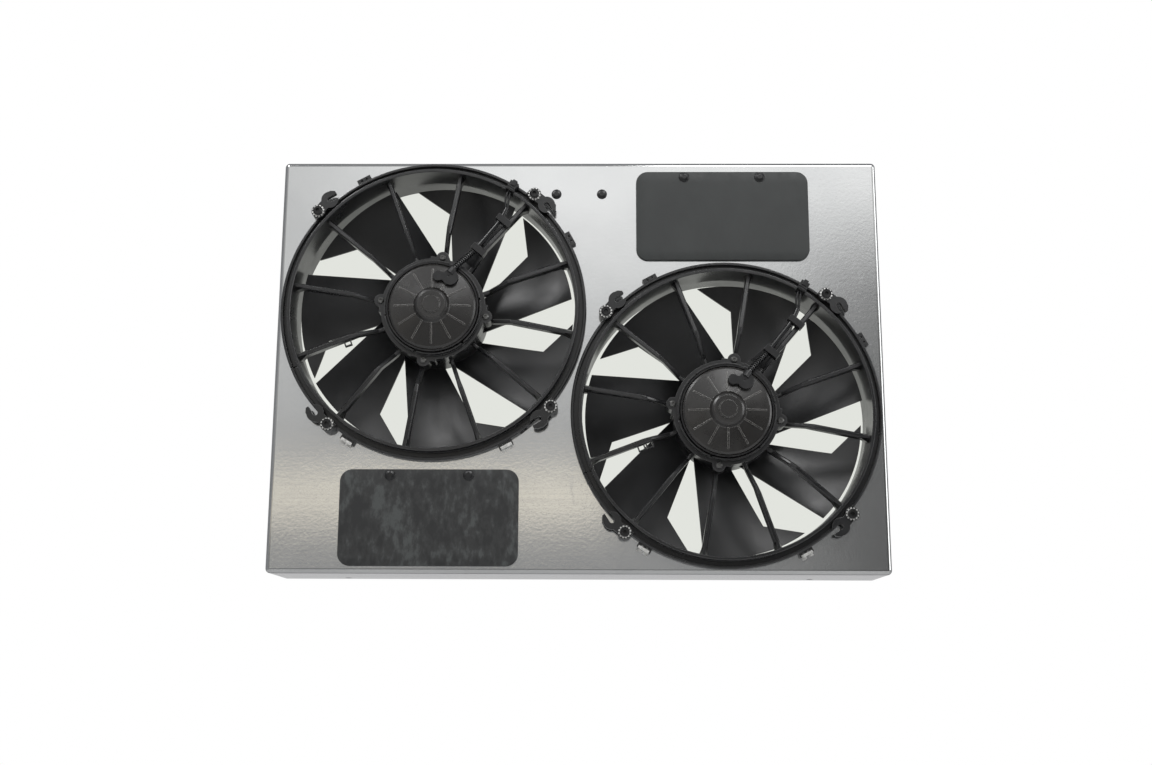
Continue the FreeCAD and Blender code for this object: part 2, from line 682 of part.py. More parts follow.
def motor_cover():
    """The front cover with its radial ribs."""
    cover = revolved(cover_profile())
    inner_top = -cover_face_height(COVER_RIB_INNER) - COVER_RIB_HEIGHT
    outer_top = -cover_face_height(COVER_RIB_OUTER) - COVER_RIB_HEIGHT * 0.6
    ribs = []
    for i in range(COVER_RIBS):
        side = [
            Vector(COVER_RIB_INNER - 2, inner_top - 0.2, -COVER_RIB_WIDTH / 2),
            Vector(COVER_RIB_OUTER, outer_top, -COVER_RIB_WIDTH / 2),
            Vector(COVER_RIB_OUTER + 1, outer_top + 2.6, -COVER_RIB_WIDTH / 2),
            Vector(COVER_RIB_INNER - 2, inner_top + 2.6, -COVER_RIB_WIDTH / 2),
        ]
        face = Part.Face(Part.makePolygon(side + side[:1]))
        ribs.append(turned(face.extrude(Vector(0, 0, COVER_RIB_WIDTH)), 360.0 / COVER_RIBS * i))
    clear = grommet_blank(GROMMET_HEIGHT)
    ribs = Part.makeCompound([rib.cut(clear) for rib in ribs])
    return fused([cover] + ribs.Solids)


def motor_can():
    """The drawn can: crimped over the cover in front, a bearing pocket behind, four fixing tabs."""
    inner = CAN_RADIUS - CAN_WALL
    rear_pocket = BEARING_RADIUS + CAN_WALL
    bearing_front = CAN_REAR - BEARING_WIDTH - CAN_WALL
    profile = [
        (inner, -CRIMP_HEIGHT),
        (CAN_RADIUS, -CRIMP_HEIGHT),
        (CAN_RADIUS, CAN_REAR - 6.0),
        (CAN_RADIUS - 4.0, CAN_REAR - 2.0),
        (rear_pocket + 4.0, CAN_REAR - 2.0),
        (rear_pocket, CAN_REAR),
        (SHAFT_RADIUS + 2.0, CAN_REAR),
        (SHAFT_RADIUS + 2.0, CAN_REAR - CAN_WALL),
        (BEARING_RADIUS, CAN_REAR - CAN_WALL),
        (BEARING_RADIUS, bearing_front),
        (rear_pocket, bearing_front),
        (rear_pocket, CAN_REAR - 2.0 - CAN_WALL),
        (CAN_RADIUS - 5.0, CAN_REAR - 2.0 - CAN_WALL),
        (inner, CAN_REAR - 7.0),
    ]
    can = revolved(profile)
    tabs = []
    for angle in LUG_ANGLES:
        tab = block(inner + 0.5, LUG_CIRCLE, -LUG_RADIUS, LUG_RADIUS, SEAT_REAR, SEAT_REAR + CAN_WALL, angle)
        tab = tab.fuse(rod(LUG_RADIUS, SEAT_REAR, SEAT_REAR + CAN_WALL, polar(LUG_CIRCLE, angle)))
        tab = tab.cut(rod(LUG_SCREW_RADIUS, SEAT_REAR - OVER, SEAT_REAR + 3, polar(LUG_CIRCLE, angle)))
        tabs.append(tab)
    return fused([can] + tabs)


def motor_screws():
    """The four pan-head screws that hold the motor in its seat."""
    screws = []
    for angle in LUG_ANGLES:
        top = -SEAT_FRONT - LUG_SCREW_HEAD
        profile = [
            (0, top),
            (LUG_SCREW_HEAD_RADIUS * 0.6, top),
            (LUG_SCREW_HEAD_RADIUS * 0.92, top + LUG_SCREW_HEAD * 0.35),
            (LUG_SCREW_HEAD_RADIUS, -SEAT_FRONT),
            (LUG_SCREW_RADIUS, -SEAT_FRONT),
            (LUG_SCREW_RADIUS, SEAT_REAR + CAN_WALL + 1.5),
            (0, SEAT_REAR + CAN_WALL + 1.5),
        ]
        screw = revolved(profile)
        recess = hexagon(1.6, top - OVER, top + 1.2)
        screws.append(moved(screw.cut(recess), polar(LUG_CIRCLE, angle)))
    return Part.makeCompound(screws)


MAGNET_FRONT = -4.0
MAGNET_OUTER = CAN_RADIUS - CAN_WALL
ARMATURE_FRONT = MAGNET_FRONT + (MAGNET_LENGTH - ARMATURE_LENGTH) / 2
FRONT_BEARING_Y = COVER_WALL - BOSS_HEIGHT
REAR_BEARING_Y = CAN_REAR - CAN_WALL - BEARING_WIDTH


def motor_magnets():
    """The arc magnets bonded inside the can."""
    ring = tube(MAGNET_OUTER, MAGNET_OUTER - MAGNET_THICKNESS, MAGNET_FRONT, MAGNET_FRONT + MAGNET_LENGTH)
    magnets = []
    for i in range(MAGNET_COUNT):
        low = 360.0 / MAGNET_COUNT * i - MAGNET_ARC / 2
        high = low + MAGNET_ARC
        reach = MAGNET_OUTER * 1.6
        tips = [Vector(0, 0, 0), polar(reach, low), polar(reach, low + MAGNET_ARC / 2), polar(reach, high)]
        wedge = prism([(p.x, p.z) for p in tips], MAGNET_FRONT - OVER, MAGNET_FRONT + MAGNET_LENGTH + OVER)
        magnets.append(ring.common(wedge))
    return Part.makeCompound(magnets)


def motor_bearings():
    """The two bearings that carry the shaft, one in the cover and one in the can."""
    bore = SHAFT_RADIUS + SHAFT_CLEARANCE
    fronts = (FRONT_BEARING_Y, REAR_BEARING_Y)
    return Part.makeCompound([tube(BEARING_RADIUS, bore, y, y + BEARING_WIDTH) for y in fronts])


def brush_holder():
    """The plate behind the cover with its two brush boxes, each reaching in to the commutator."""
    y0 = -SEAT_FRONT + 0.5
    plate = tube(MAGNET_OUTER, COMMUTATOR_RADIUS + 6, y0, y0 + BRUSH_PLATE)
    half = BRUSH_WIDTH / 2
    boxes = []
    for angle in (0.0, 180.0):
        inner = COMMUTATOR_RADIUS + FLAP_GAP
        boxes.append(block(inner, inner + 18.0, -half, half, y0 - BRUSH_WIDTH, y0 + BRUSH_PLATE, angle))
    return fused([plate] + boxes)


def motor_shaft():
    """The shaft, with a shoulder behind each bearing."""
    front = FRONT_BEARING_Y + 0.5
    rear = HUB_REAR + HUB_NUT_HEIGHT
    shaft = rod(SHAFT_RADIUS, front, rear)
    collar = rod(SHAFT_RADIUS + 1.5, FRONT_BEARING_Y + BEARING_WIDTH + 0.3, REAR_BEARING_Y - 0.3)
    return shaft.fuse(collar).removeSplitter()


def motor_armature():
    """The slotted armature and the commutator on the shaft."""
    bore = SHAFT_RADIUS + 1.5
    rear = ARMATURE_FRONT + ARMATURE_LENGTH
    stack = tube(ARMATURE_RADIUS, bore, ARMATURE_FRONT, rear)
    slots = []
    for i in range(STRUT_COUNT):
        outside = ARMATURE_RADIUS + OVER
        slots.append(
            block(ARMATURE_RADIUS - 9, outside, -1.2, 1.2, ARMATURE_FRONT - OVER, rear + OVER, 30 * i)
        )
    commutator = tube(COMMUTATOR_RADIUS, bore, ARMATURE_FRONT - COMMUTATOR_LENGTH, ARMATURE_FRONT)
    return stack.cut(Part.makeCompound(slots)).fuse(commutator).removeSplitter()


# ---------------------------------------------------------------- impeller


def leading_share(radius):
    """How far a radius lies from the blade's root to its tip, from 0 to 1."""
    return (radius - HUB_RADIUS) / (BLADE_TIP_RADIUS - HUB_RADIUS)


def crossing_angle(start, end, radius):
    """Angle at which the straight line through two (radius, angle) places crosses a radius."""
    first, run = polar(*start), polar(*end) - polar(*start)
    square, middle = run.dot(run), first.dot(run)
    share = (math.sqrt(middle ** 2 - square * (first.dot(first) - radius ** 2)) - middle) / square
    place = first + run * share
    return math.degrees(math.atan2(place.z, place.x))


def front_edge_angle(radius):
    """Angle of the blade's front edge, one straight line from hub to tip."""
    return crossing_angle(*BLADE_FRONT_EDGE, radius)


def blade_point(radius, angle, offset):
    """A point of the blade's skin: it falls back from the front edge to the rear edge with some camber."""
    share = leading_share(radius)
    front = BLADE_ROOT_FRONT + share * (BLADE_TIP_FRONT - BLADE_ROOT_FRONT)
    rear = BLADE_ROOT_REAR + share * (BLADE_TIP_REAR - BLADE_ROOT_REAR)
    root_angle, tip_angle = BLADE_REAR_ROOT[1], BLADE_TIP_CORNER[1]
    start, end = front_edge_angle(radius), root_angle + share ** 3 * (tip_angle - root_angle)
    chord = (angle - start) / (end - start)
    depth = front + (rear - front) * chord + BLADE_CAMBER * 4 * chord * (1 - chord) * (1 - 0.4 * share)
    return polar(radius, angle, depth + offset)


def blade_skin(sign):
    """One face of a blade, as a smooth surface a little larger than the blade's outline."""
    rows = []
    for i in range(5):
        radius = HUB_RADIUS - 3.0 + i * (BLADE_TIP_RADIUS + 4.0 - HUB_RADIUS) / 4.0
        share = leading_share(radius)
        thickness = BLADE_ROOT_THICKNESS + share * (BLADE_TIP_THICKNESS - BLADE_ROOT_THICKNESS)
        low = front_edge_angle(radius) - 4.0
        high = BLADE_REAR_ROOT[1] + (BLADE_TIP_CORNER[1] - BLADE_REAR_ROOT[1]) * max(share, 0.0) + 4.0
        row = []
        for j in range(5):
            row.append(blade_point(radius, low + (high - low) * j / 4.0, sign * thickness / 2))
        rows.append(row)
    surface = Part.BSplineSurface()
    surface.interpolate(rows)
    return surface


TIP_EDGE_ANGLE = front_edge_angle(BLADE_TIP_RADIUS)


def blade_outline():
    """The blade's outline seen along the shaft: straight front edge, kneed rear edge, round tip."""
    inner = HUB_RADIUS - HUB_WALL / 2
    root_angle = crossing_angle(BLADE_REAR_ROOT, BLADE_REAR_KNEE, inner)
    root_front, root_rear = polar(inner, front_edge_angle(inner)), polar(inner, root_angle)
    tip_front, knee = polar(BLADE_TIP_RADIUS, TIP_EDGE_ANGLE), polar(*BLADE_REAR_KNEE)
    corner = polar(*BLADE_TIP_CORNER)
    crown = polar(BLADE_TIP_RADIUS, (BLADE_TIP_CORNER[1] + TIP_EDGE_ANGLE) / 2)
    root_middle = polar(inner, (root_angle + front_edge_angle(inner)) / 2)
    edges = [
        Part.LineSegment(root_front, tip_front),
        Part.Arc(tip_front, crown, corner),
        Part.LineSegment(corner, knee),
        Part.LineSegment(knee, root_rear),
        Part.Arc(root_rear, root_middle, root_front),
    ]
    wire = Part.Wire([edge.toShape() for edge in edges])
    return Part.Face(wire).extrude(Vector(0, HUB_REAR + RIM_HEIGHT, 0))


def blade():
    """One blade at angle 0, trimmed to its outline."""
    front, rear = blade_skin(-1).toShape(), blade_skin(1).toShape()
    faces = [front, rear]
    for near, far in zip(front.Edges, rear.Edges):
        faces.append(Part.makeRuledSurface(near, far))
    slab = Part.makeSolid(Part.makeShell(faces))
    if slab.Volume < 0:
        slab.reverse()
    return slab.common(blade_outline()).Solids[0]


def impeller():
    """The hub cup, open towards the motor, and its seven unevenly spaced blades."""
    inner = HUB_RADIUS - HUB_WALL
    profile = [
        (HUB_RADIUS, HUB_FRONT),
        (HUB_RADIUS, HUB_REAR - 4.0),
        (HUB_RADIUS - 4.0, HUB_REAR),
        (SHAFT_RADIUS, HUB_REAR),
        (SHAFT_RADIUS, CAN_REAR + 3.0),
        (HUB_BOSS_RADIUS, CAN_REAR + 3.0),
        (HUB_BOSS_RADIUS, HUB_REAR - HUB_WALL),
        (inner - 3.0, HUB_REAR - HUB_WALL),
        (inner, HUB_REAR - HUB_WALL - 3.0),
        (inner, HUB_FRONT),
    ]
    pieces = [revolved(profile)]
    pattern = blade()
    for index, shift in enumerate(BLADE_PITCH_SHIFTS):
        angle = BLADE_FIRST_ANGLE + 360.0 / BLADE_COUNT * index + shift
        pieces.append(turned(pattern, angle))
    return pieces[0].multiFuse(pieces[1:])


def hub_nut():
    """The nut that holds the impeller on its shaft."""
    nut = hexagon(HUB_NUT_RADIUS, HUB_REAR, HUB_REAR + HUB_NUT_HEIGHT)
    return nut.cut(rod(SHAFT_RADIUS, HUB_REAR - OVER, HUB_REAR + HUB_NUT_HEIGHT + OVER))


# ---------------------------------------------------------------- lead and its fittings


def grommet_blank(height):
    """The figure-of-eight prism that the grommet is cut from."""
    big = rod(GROMMET_BIG_RADIUS, -height, -COVER_EDGE_HEIGHT, polar(*GROMMET_CENTRE))
    small = rod(GROMMET_SMALL_RADIUS, -height, -COVER_EDGE_HEIGHT, polar(*GROMMET_LOBE))
    start, end = polar(*GROMMET_CENTRE), polar(*GROMMET_LOBE)
    ends = ((start.x, start.z), (end.x, end.z))
    waist = capsule(GROMMET_SMALL_RADIUS * 0.8, *ends, -height, -COVER_EDGE_HEIGHT)
    return fused([big, small, waist])


def lead_grommet():
    """The rubber grommet on the motor cover, with the spout that the lead leaves by."""
    body = grommet_blank(GROMMET_HEIGHT)
    start, after = [polar(*point) for point in LEAD_ROUTE[:2]]
    run = (after - start).normalize()
    spout = Part.makeCylinder(LEAD_RADIUS + 1.4, 7.0, start - run * 7.0, run)
    dimple = rod(1.2, -GROMMET_HEIGHT - OVER, 0.8 - GROMMET_HEIGHT, polar(GROMMET_CENTRE[0], 60.5))
    return fused([body, spout]).cut(dimple).cut(motor_cover()).Solids[0]


def lead_path():
    """The lead's route: straight runs joined by the largest tangent arcs that they allow."""
    points = [polar(*point) for point in LEAD_ROUTE]
    edges = []
    here = points[0]
    for before, corner, after in zip(points, points[1:], points[2:]):
        back, ahead = before - corner, after - corner
        reach = 0.45 * min(back.Length, ahead.Length)
        half_turn = (math.pi - back.getAngle(ahead)) / 2
        radius = reach / math.tan(half_turn)
        enter = corner + back.normalize() * reach
        leave = corner + ahead.normalize() * reach
        sag = radius / math.cos(half_turn) - radius
        middle = corner + (back + ahead).normalize() * sag
        edges.append(Part.LineSegment(here, enter).toShape())
        edges.append(Part.Arc(enter, middle, leave).toShape())
        here = leave
    edges.append(Part.LineSegment(here, points[-1]).toShape())
    return Part.Wire(edges)


def motor_lead(margin=0.0):
    """The motor's sleeved lead, from its grommet along a strut to the connector on the rim."""
    start, after = [polar(*point) for point in LEAD_ROUTE[:2]]
    section = Part.Wire(Part.makeCircle(LEAD_RADIUS + margin, start, after - start))
    return lead_path().makePipeShell([section], True, False).Solids[0]


def lead_clamps():
    """The two clips that tie the lead to its strut, each with a round eye and a slot over the strut."""
    path = lead_path()
    strut_angle = STRUT_ANGLES[1]
    strut = turned(strut_blank(), strut_angle)
    lead_room = motor_lead(FLAP_GAP)
    clamps = []
    for radius in LEAD_CLAMP_RADII:
        crossing = lead_crossing(path, radius, strut_angle)
        eye = LEAD_RADIUS + FLAP_GAP
        t_lead, y_lead = crossing
        y0, y1 = y_lead - eye - CLAMP_WALL, y_lead + eye + CLAMP_WALL
        t0, t1 = -STRUT_WIDTH / 2 - CLAMP_WALL, t_lead + eye + CLAMP_WALL
        r0, r1 = radius - CLAMP_LENGTH / 2, radius + CLAMP_LENGTH / 2
        clamp = block(r0, r1, t0, t1, y0, y1, strut_angle)
        tunnel = Part.makeCylinder(eye, CLAMP_LENGTH + 4, Vector(r0 - 2, y_lead, t_lead), Vector(1, 0, 0))
        clamp = clamp.cut(turned(tunnel, strut_angle)).cut(lead_room).cut(strut).cut(lead_trough())
        clamps.append(largest(clamp))
    return Part.makeCompound(clamps)


def largest(shape):
    """The largest solid of a shape."""
    return max(shape.Solids, key=lambda solid: solid.Volume)


def lead_crossing(path, radius, strut_angle):
    """Sideways offset and depth of the lead where it passes a distance along its strut."""
    best = None
    for point in path.discretize(240):
        straight = turned(Part.Vertex(point), -strut_angle).Point
        gap = abs(straight.x - radius)
        if best is None or gap < best[0]:
            best = (gap, straight.z, straight.y)
    return best[1], best[2]


def lead_connector():
    """The two-way connector in its pocket on the rim, with a latch on its outer face."""
    half = CONNECTOR_WIDTH / 2
    outer = CONNECTOR_INNER + CONNECTOR_LENGTH
    body = block(CONNECTOR_INNER, outer, -half, half, -CONNECTOR_HEIGHT, -GROOVE_FLOOR, 0)
    top = -CONNECTOR_HEIGHT
    latch = block(outer - 5, outer + 1.5, -half * 0.5, half * 0.5, top - 1.6, top + 4, 0)
    ribs = [
        block(CONNECTOR_INNER + 1 + 2.4 * i, CONNECTOR_INNER + 2.2 + 2.4 * i, -half, half, top - 0.8, top, 0)
        for i in range(2)
    ]
    slot = block(outer - 3, outer + 2, -half * 0.7, half * 0.7, top * 0.62, -GROOVE_FLOOR - 2.5, 0)
    return turned(fused([body, latch] + ribs).cut(slot), CONNECTOR_ANGLE).cut(motor_lead(SEATED_GAP))


# ---------------------------------------------------------------- fixings


def ear_screws():
    """The four socket screws that hold a fan to the tray."""
    top = -EAR_TOP - STAR_THICKNESS
    head_top = top - EAR_SCREW_HEAD
    end = SHEET + NUT_HEIGHT + 1.5
    profile = [
        (0, head_top),
        (EAR_SCREW_HEAD_RADIUS * 0.75, head_top),
        (EAR_SCREW_HEAD_RADIUS, head_top + 1.2),
        (EAR_SCREW_HEAD_RADIUS, top),
        (EAR_SCREW_RADIUS, top),
        (EAR_SCREW_RADIUS, end),
        (0, end),
    ]
    screw = revolved(profile).cut(hexagon(2.3, head_top - OVER, head_top + 2.2))
    return Part.makeCompound([moved(screw, polar(EAR_CIRCLE, angle)) for angle in EAR_ANGLES])


def star_washers():
    """The toothed lock washers under the ear screws."""
    y0 = -EAR_TOP - STAR_THICKNESS
    outline = []
    for i in range(STAR_TEETH):
        step = 360.0 / STAR_TEETH
        for share, radius in ((0.0, STAR_ROOT), (0.22, STAR_RADIUS), (0.62, STAR_RADIUS), (0.84, STAR_ROOT)):
            outline.append(polar(radius, step * (i + share)))
    star = prism([(p.x, p.z) for p in outline], y0, -EAR_TOP).cut(rod(EAR_HOLE_RADIUS, y0 - OVER, 0))
    return Part.makeCompound([moved(star, polar(EAR_CIRCLE, angle)) for angle in EAR_ANGLES])


def clinch_nuts():
    """The eight nuts behind the tray that take the ear screws."""
    bore = EAR_SCREW_RADIUS + NUT_BORE_CLEARANCE
    flange = rod(NUT_FLANGE_RADIUS, SHEET, SHEET + 1.2)
    nut = fused([flange, hexagon(NUT_HEX_RADIUS, SHEET, SHEET + NUT_HEIGHT)])
    nut = nut.cut(rod(bore, 0, SHEET + NUT_HEIGHT + OVER))
    return Part.makeCompound([moved(nut, place) for place in ear_places()])


def spring_clips():
    """The two sprung sheet clips pushed over the tabs: a channel with its lower leg turned out."""
    outer = LIP_RADIUS + TAB_REACH
    r0 = outer - CLIP_GRIP
    half = CLIP_LENGTH / 2
    top = block(r0 + 2.4, outer + CLIP_SHEET, -half, half, -TAB_HEIGHT - CLIP_SHEET, -TAB_HEIGHT, 0)
    back = block(outer, outer + CLIP_SHEET, -half, half, -TAB_HEIGHT - CLIP_SHEET, -0.4, 0)
    ears = [
        block(outer, outer + 3.4, side * (half - 2.5) - 2.5, side * (half - 2.5) + 2.5, -1.2, -0.4, 0)
        for side in (-1, 1)
    ]
    clip = fused([top, back] + ears)
    return Part.makeCompound([turned(clip, angle) for angle in CLIPPED_TABS])


# ---------------------------------------------------------------- flaps

FLAP_AXIS_Y = -FLAP_GAP - FLAP_THICKNESS / 2


def flap_hinge_z(z):
    """Height of a flap's hinge line."""
    return flap_top(z) - HINGE_DROP


def rubber_flap(x, z):
    """The moving part of a flap: a rubber plate whose upper edge is round about the hinge line."""
    hinge = flap_hinge_z(z)
    bottom = flap_top(z) - FLAP_HEIGHT
    half = FLAP_WIDTH / 2
    y0, y1 = FLAP_AXIS_Y - FLAP_THICKNESS / 2, FLAP_AXIS_Y + FLAP_THICKNESS / 2
    plate = Part.makeBox(FLAP_WIDTH, FLAP_THICKNESS, hinge - bottom, Vector(x - half, y0, bottom))
    lower = [e for e in plate.Edges if is_along_y(e) and abs(e.Vertexes[0].Point.z - bottom) < 1e-6]
    plate = plate.makeFillet(FLAP_CORNER, lower)
    edge = Part.makeCylinder(FLAP_THICKNESS / 2, FLAP_WIDTH, Vector(x - half, FLAP_AXIS_Y, hinge), Vector(1, 0, 0))
    return plate.fuse(edge).removeSplitter()


def flap_anchor(x, z):
    """The fixed upper strip of a flap, held flat on the tray by its two rivets."""
    top = flap_top(z)
    bottom = flap_hinge_z(z) + FLAP_THICKNESS / 2 + FLAP_GAP
    half = FLAP_WIDTH / 2
    strip = Part.makeBox(FLAP_WIDTH, FLAP_THICKNESS, top - bottom, Vector(x - half, -FLAP_THICKNESS, bottom))
    upper = [e for e in strip.Edges if is_along_y(e) and abs(e.Vertexes[0].Point.z - top) < 1e-6]
    strip = strip.makeFillet(min(FLAP_CORNER, top - bottom - 0.5), upper)
    for side in (-1, 1):
        place = Vector(x + side * RIVET_SPACING / 2, 0, top - RIVET_DROP)
        strip = strip.cut(rod(RIVET_HOLE_RADIUS, -FLAP_THICKNESS - OVER, OVER, place))
    return strip


def push_rivet(face, radius, head_radius, head, length):
    """A push rivet: domed head on a face at -Y, a shank, and a barbed end behind the tray."""
    y = -face
    end = y + length + face
    profile = [
        (0, y - head),
        (head_radius * 0.45, y - head),
        (head_radius * 0.85, y - head * 0.62),
        (head_radius, y - head * 0.2),
        (head_radius, y),
        (radius, y),
        (radius, SHEET + 0.2),
        (radius + 0.9, SHEET + 1.4),
        (radius * 0.55, end),
        (0, end),
    ]
    return revolved(profile)


def flap_rivets():
    """The four push rivets that hold the flaps."""
    rivet = push_rivet(FLAP_THICKNESS, RIVET_RADIUS, RIVET_HEAD_RADIUS, RIVET_HEAD, RIVET_LENGTH)
    return Part.makeCompound([moved(rivet, place) for place in rivet_places()])


def panel_plugs():
    """The two plugs that close spare holes in the tray."""
    plug = push_rivet(0.0, PLUG_RADIUS, PLUG_HEAD_RADIUS, PLUG_HEAD, RIVET_LENGTH * 0.7)
    return Part.makeCompound([moved(plug, place) for place in PLUG_PLACES])


# ---------------------------------------------------------------- build


def build_fans():
    """Make each fan's pieces once round the Y axis and save a copy at each fan's place."""
    pieces = {
        "fan_ring": fan_ring(),
        "motor_seat": fused([motor_seat(), lead_trough()]),
        "motor_can": motor_can(),
        "motor_cover": motor_cover(),
        "motor_screws": motor_screws(),
        "motor_magnets": motor_magnets(),
        "motor_bearings": motor_bearings(),
        "brush_holder": brush_holder(),
        "motor_shaft": motor_shaft(),
        "motor_armature": motor_armature(),
        "impeller": impeller(),
        "hub_nut": hub_nut(),
        "lead_grommet": lead_grommet(),
        "motor_lead": motor_lead(),
        "lead_clamps": lead_clamps(),
        "lead_connector": lead_connector(),
        "ear_screws": ear_screws(),
        "star_washers": star_washers(),
        "spring_clips": spring_clips(),
    }
    wire_loops = {"left": 1, "right": 2}
    for side, centre in FANS.items():
        for name, shape in pieces.items():
            save("%s_%s" % (side, name), moved(shape, centre))
        save("%s_fan_struts" % side, moved(fan_struts(wire_loops[side]), centre))


def build_tray():
    """Make the tray and what is fixed straight to it."""
    face, walls = tray_parts()
    save("tray_face", face)
    save("tray_walls", walls)
    save("clinch_nuts", clinch_nuts())
    save("flap_rivets", flap_rivets())
    save("panel_plugs", panel_plugs())
    for name, x, z in FLAP_CENTRES:
        save("%s_flap" % name, rubber_flap(x, z))
        save("%s_flap_anchor" % name, flap_anchor(x, z))


build_tray()
build_fans()
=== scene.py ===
"""Looks of the radiator fan shroud: finishes, the pieces best modelled here, and a plain studio."""

import logging
import math
from dataclasses import dataclass, field
from enum import Enum
from typing import Iterable, Sequence

import bpy
from mathutils import Matrix, Vector


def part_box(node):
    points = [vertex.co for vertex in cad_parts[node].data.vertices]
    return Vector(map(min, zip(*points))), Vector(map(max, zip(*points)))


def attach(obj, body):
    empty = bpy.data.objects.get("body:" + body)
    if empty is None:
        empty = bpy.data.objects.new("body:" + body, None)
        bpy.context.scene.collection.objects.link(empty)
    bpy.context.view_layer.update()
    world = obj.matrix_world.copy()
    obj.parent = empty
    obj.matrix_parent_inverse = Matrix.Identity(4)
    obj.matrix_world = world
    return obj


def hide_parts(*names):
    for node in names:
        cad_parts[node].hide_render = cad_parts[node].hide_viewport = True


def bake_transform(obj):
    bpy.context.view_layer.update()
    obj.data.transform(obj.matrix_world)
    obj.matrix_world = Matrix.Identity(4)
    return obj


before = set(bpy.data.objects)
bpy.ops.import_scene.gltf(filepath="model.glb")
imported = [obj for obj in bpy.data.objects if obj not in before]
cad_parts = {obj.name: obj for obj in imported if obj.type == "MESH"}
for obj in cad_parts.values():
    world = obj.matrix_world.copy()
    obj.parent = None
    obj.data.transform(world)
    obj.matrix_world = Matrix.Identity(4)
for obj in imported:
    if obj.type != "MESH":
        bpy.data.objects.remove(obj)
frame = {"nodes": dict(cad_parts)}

logging.basicConfig(level=logging.INFO, format="%(message)s")
log = logging.getLogger("shroud")

Colour = tuple[float, float, float]
Point = tuple[float, float, float]
Socket = bpy.types.NodeSocket
Material = bpy.types.Material
Paint = Socket | Colour


class Side(Enum):
    """Which of the two fans a piece belongs to."""

    LEFT = "left"
    RIGHT = "right"


class Sum(Enum):
    """How two values of a finish are put together."""

    ADD = "ADD"
    SUBTRACT = "SUBTRACT"
    MULTIPLY = "MULTIPLY"


# ------------------------------------------------------------------ finishes


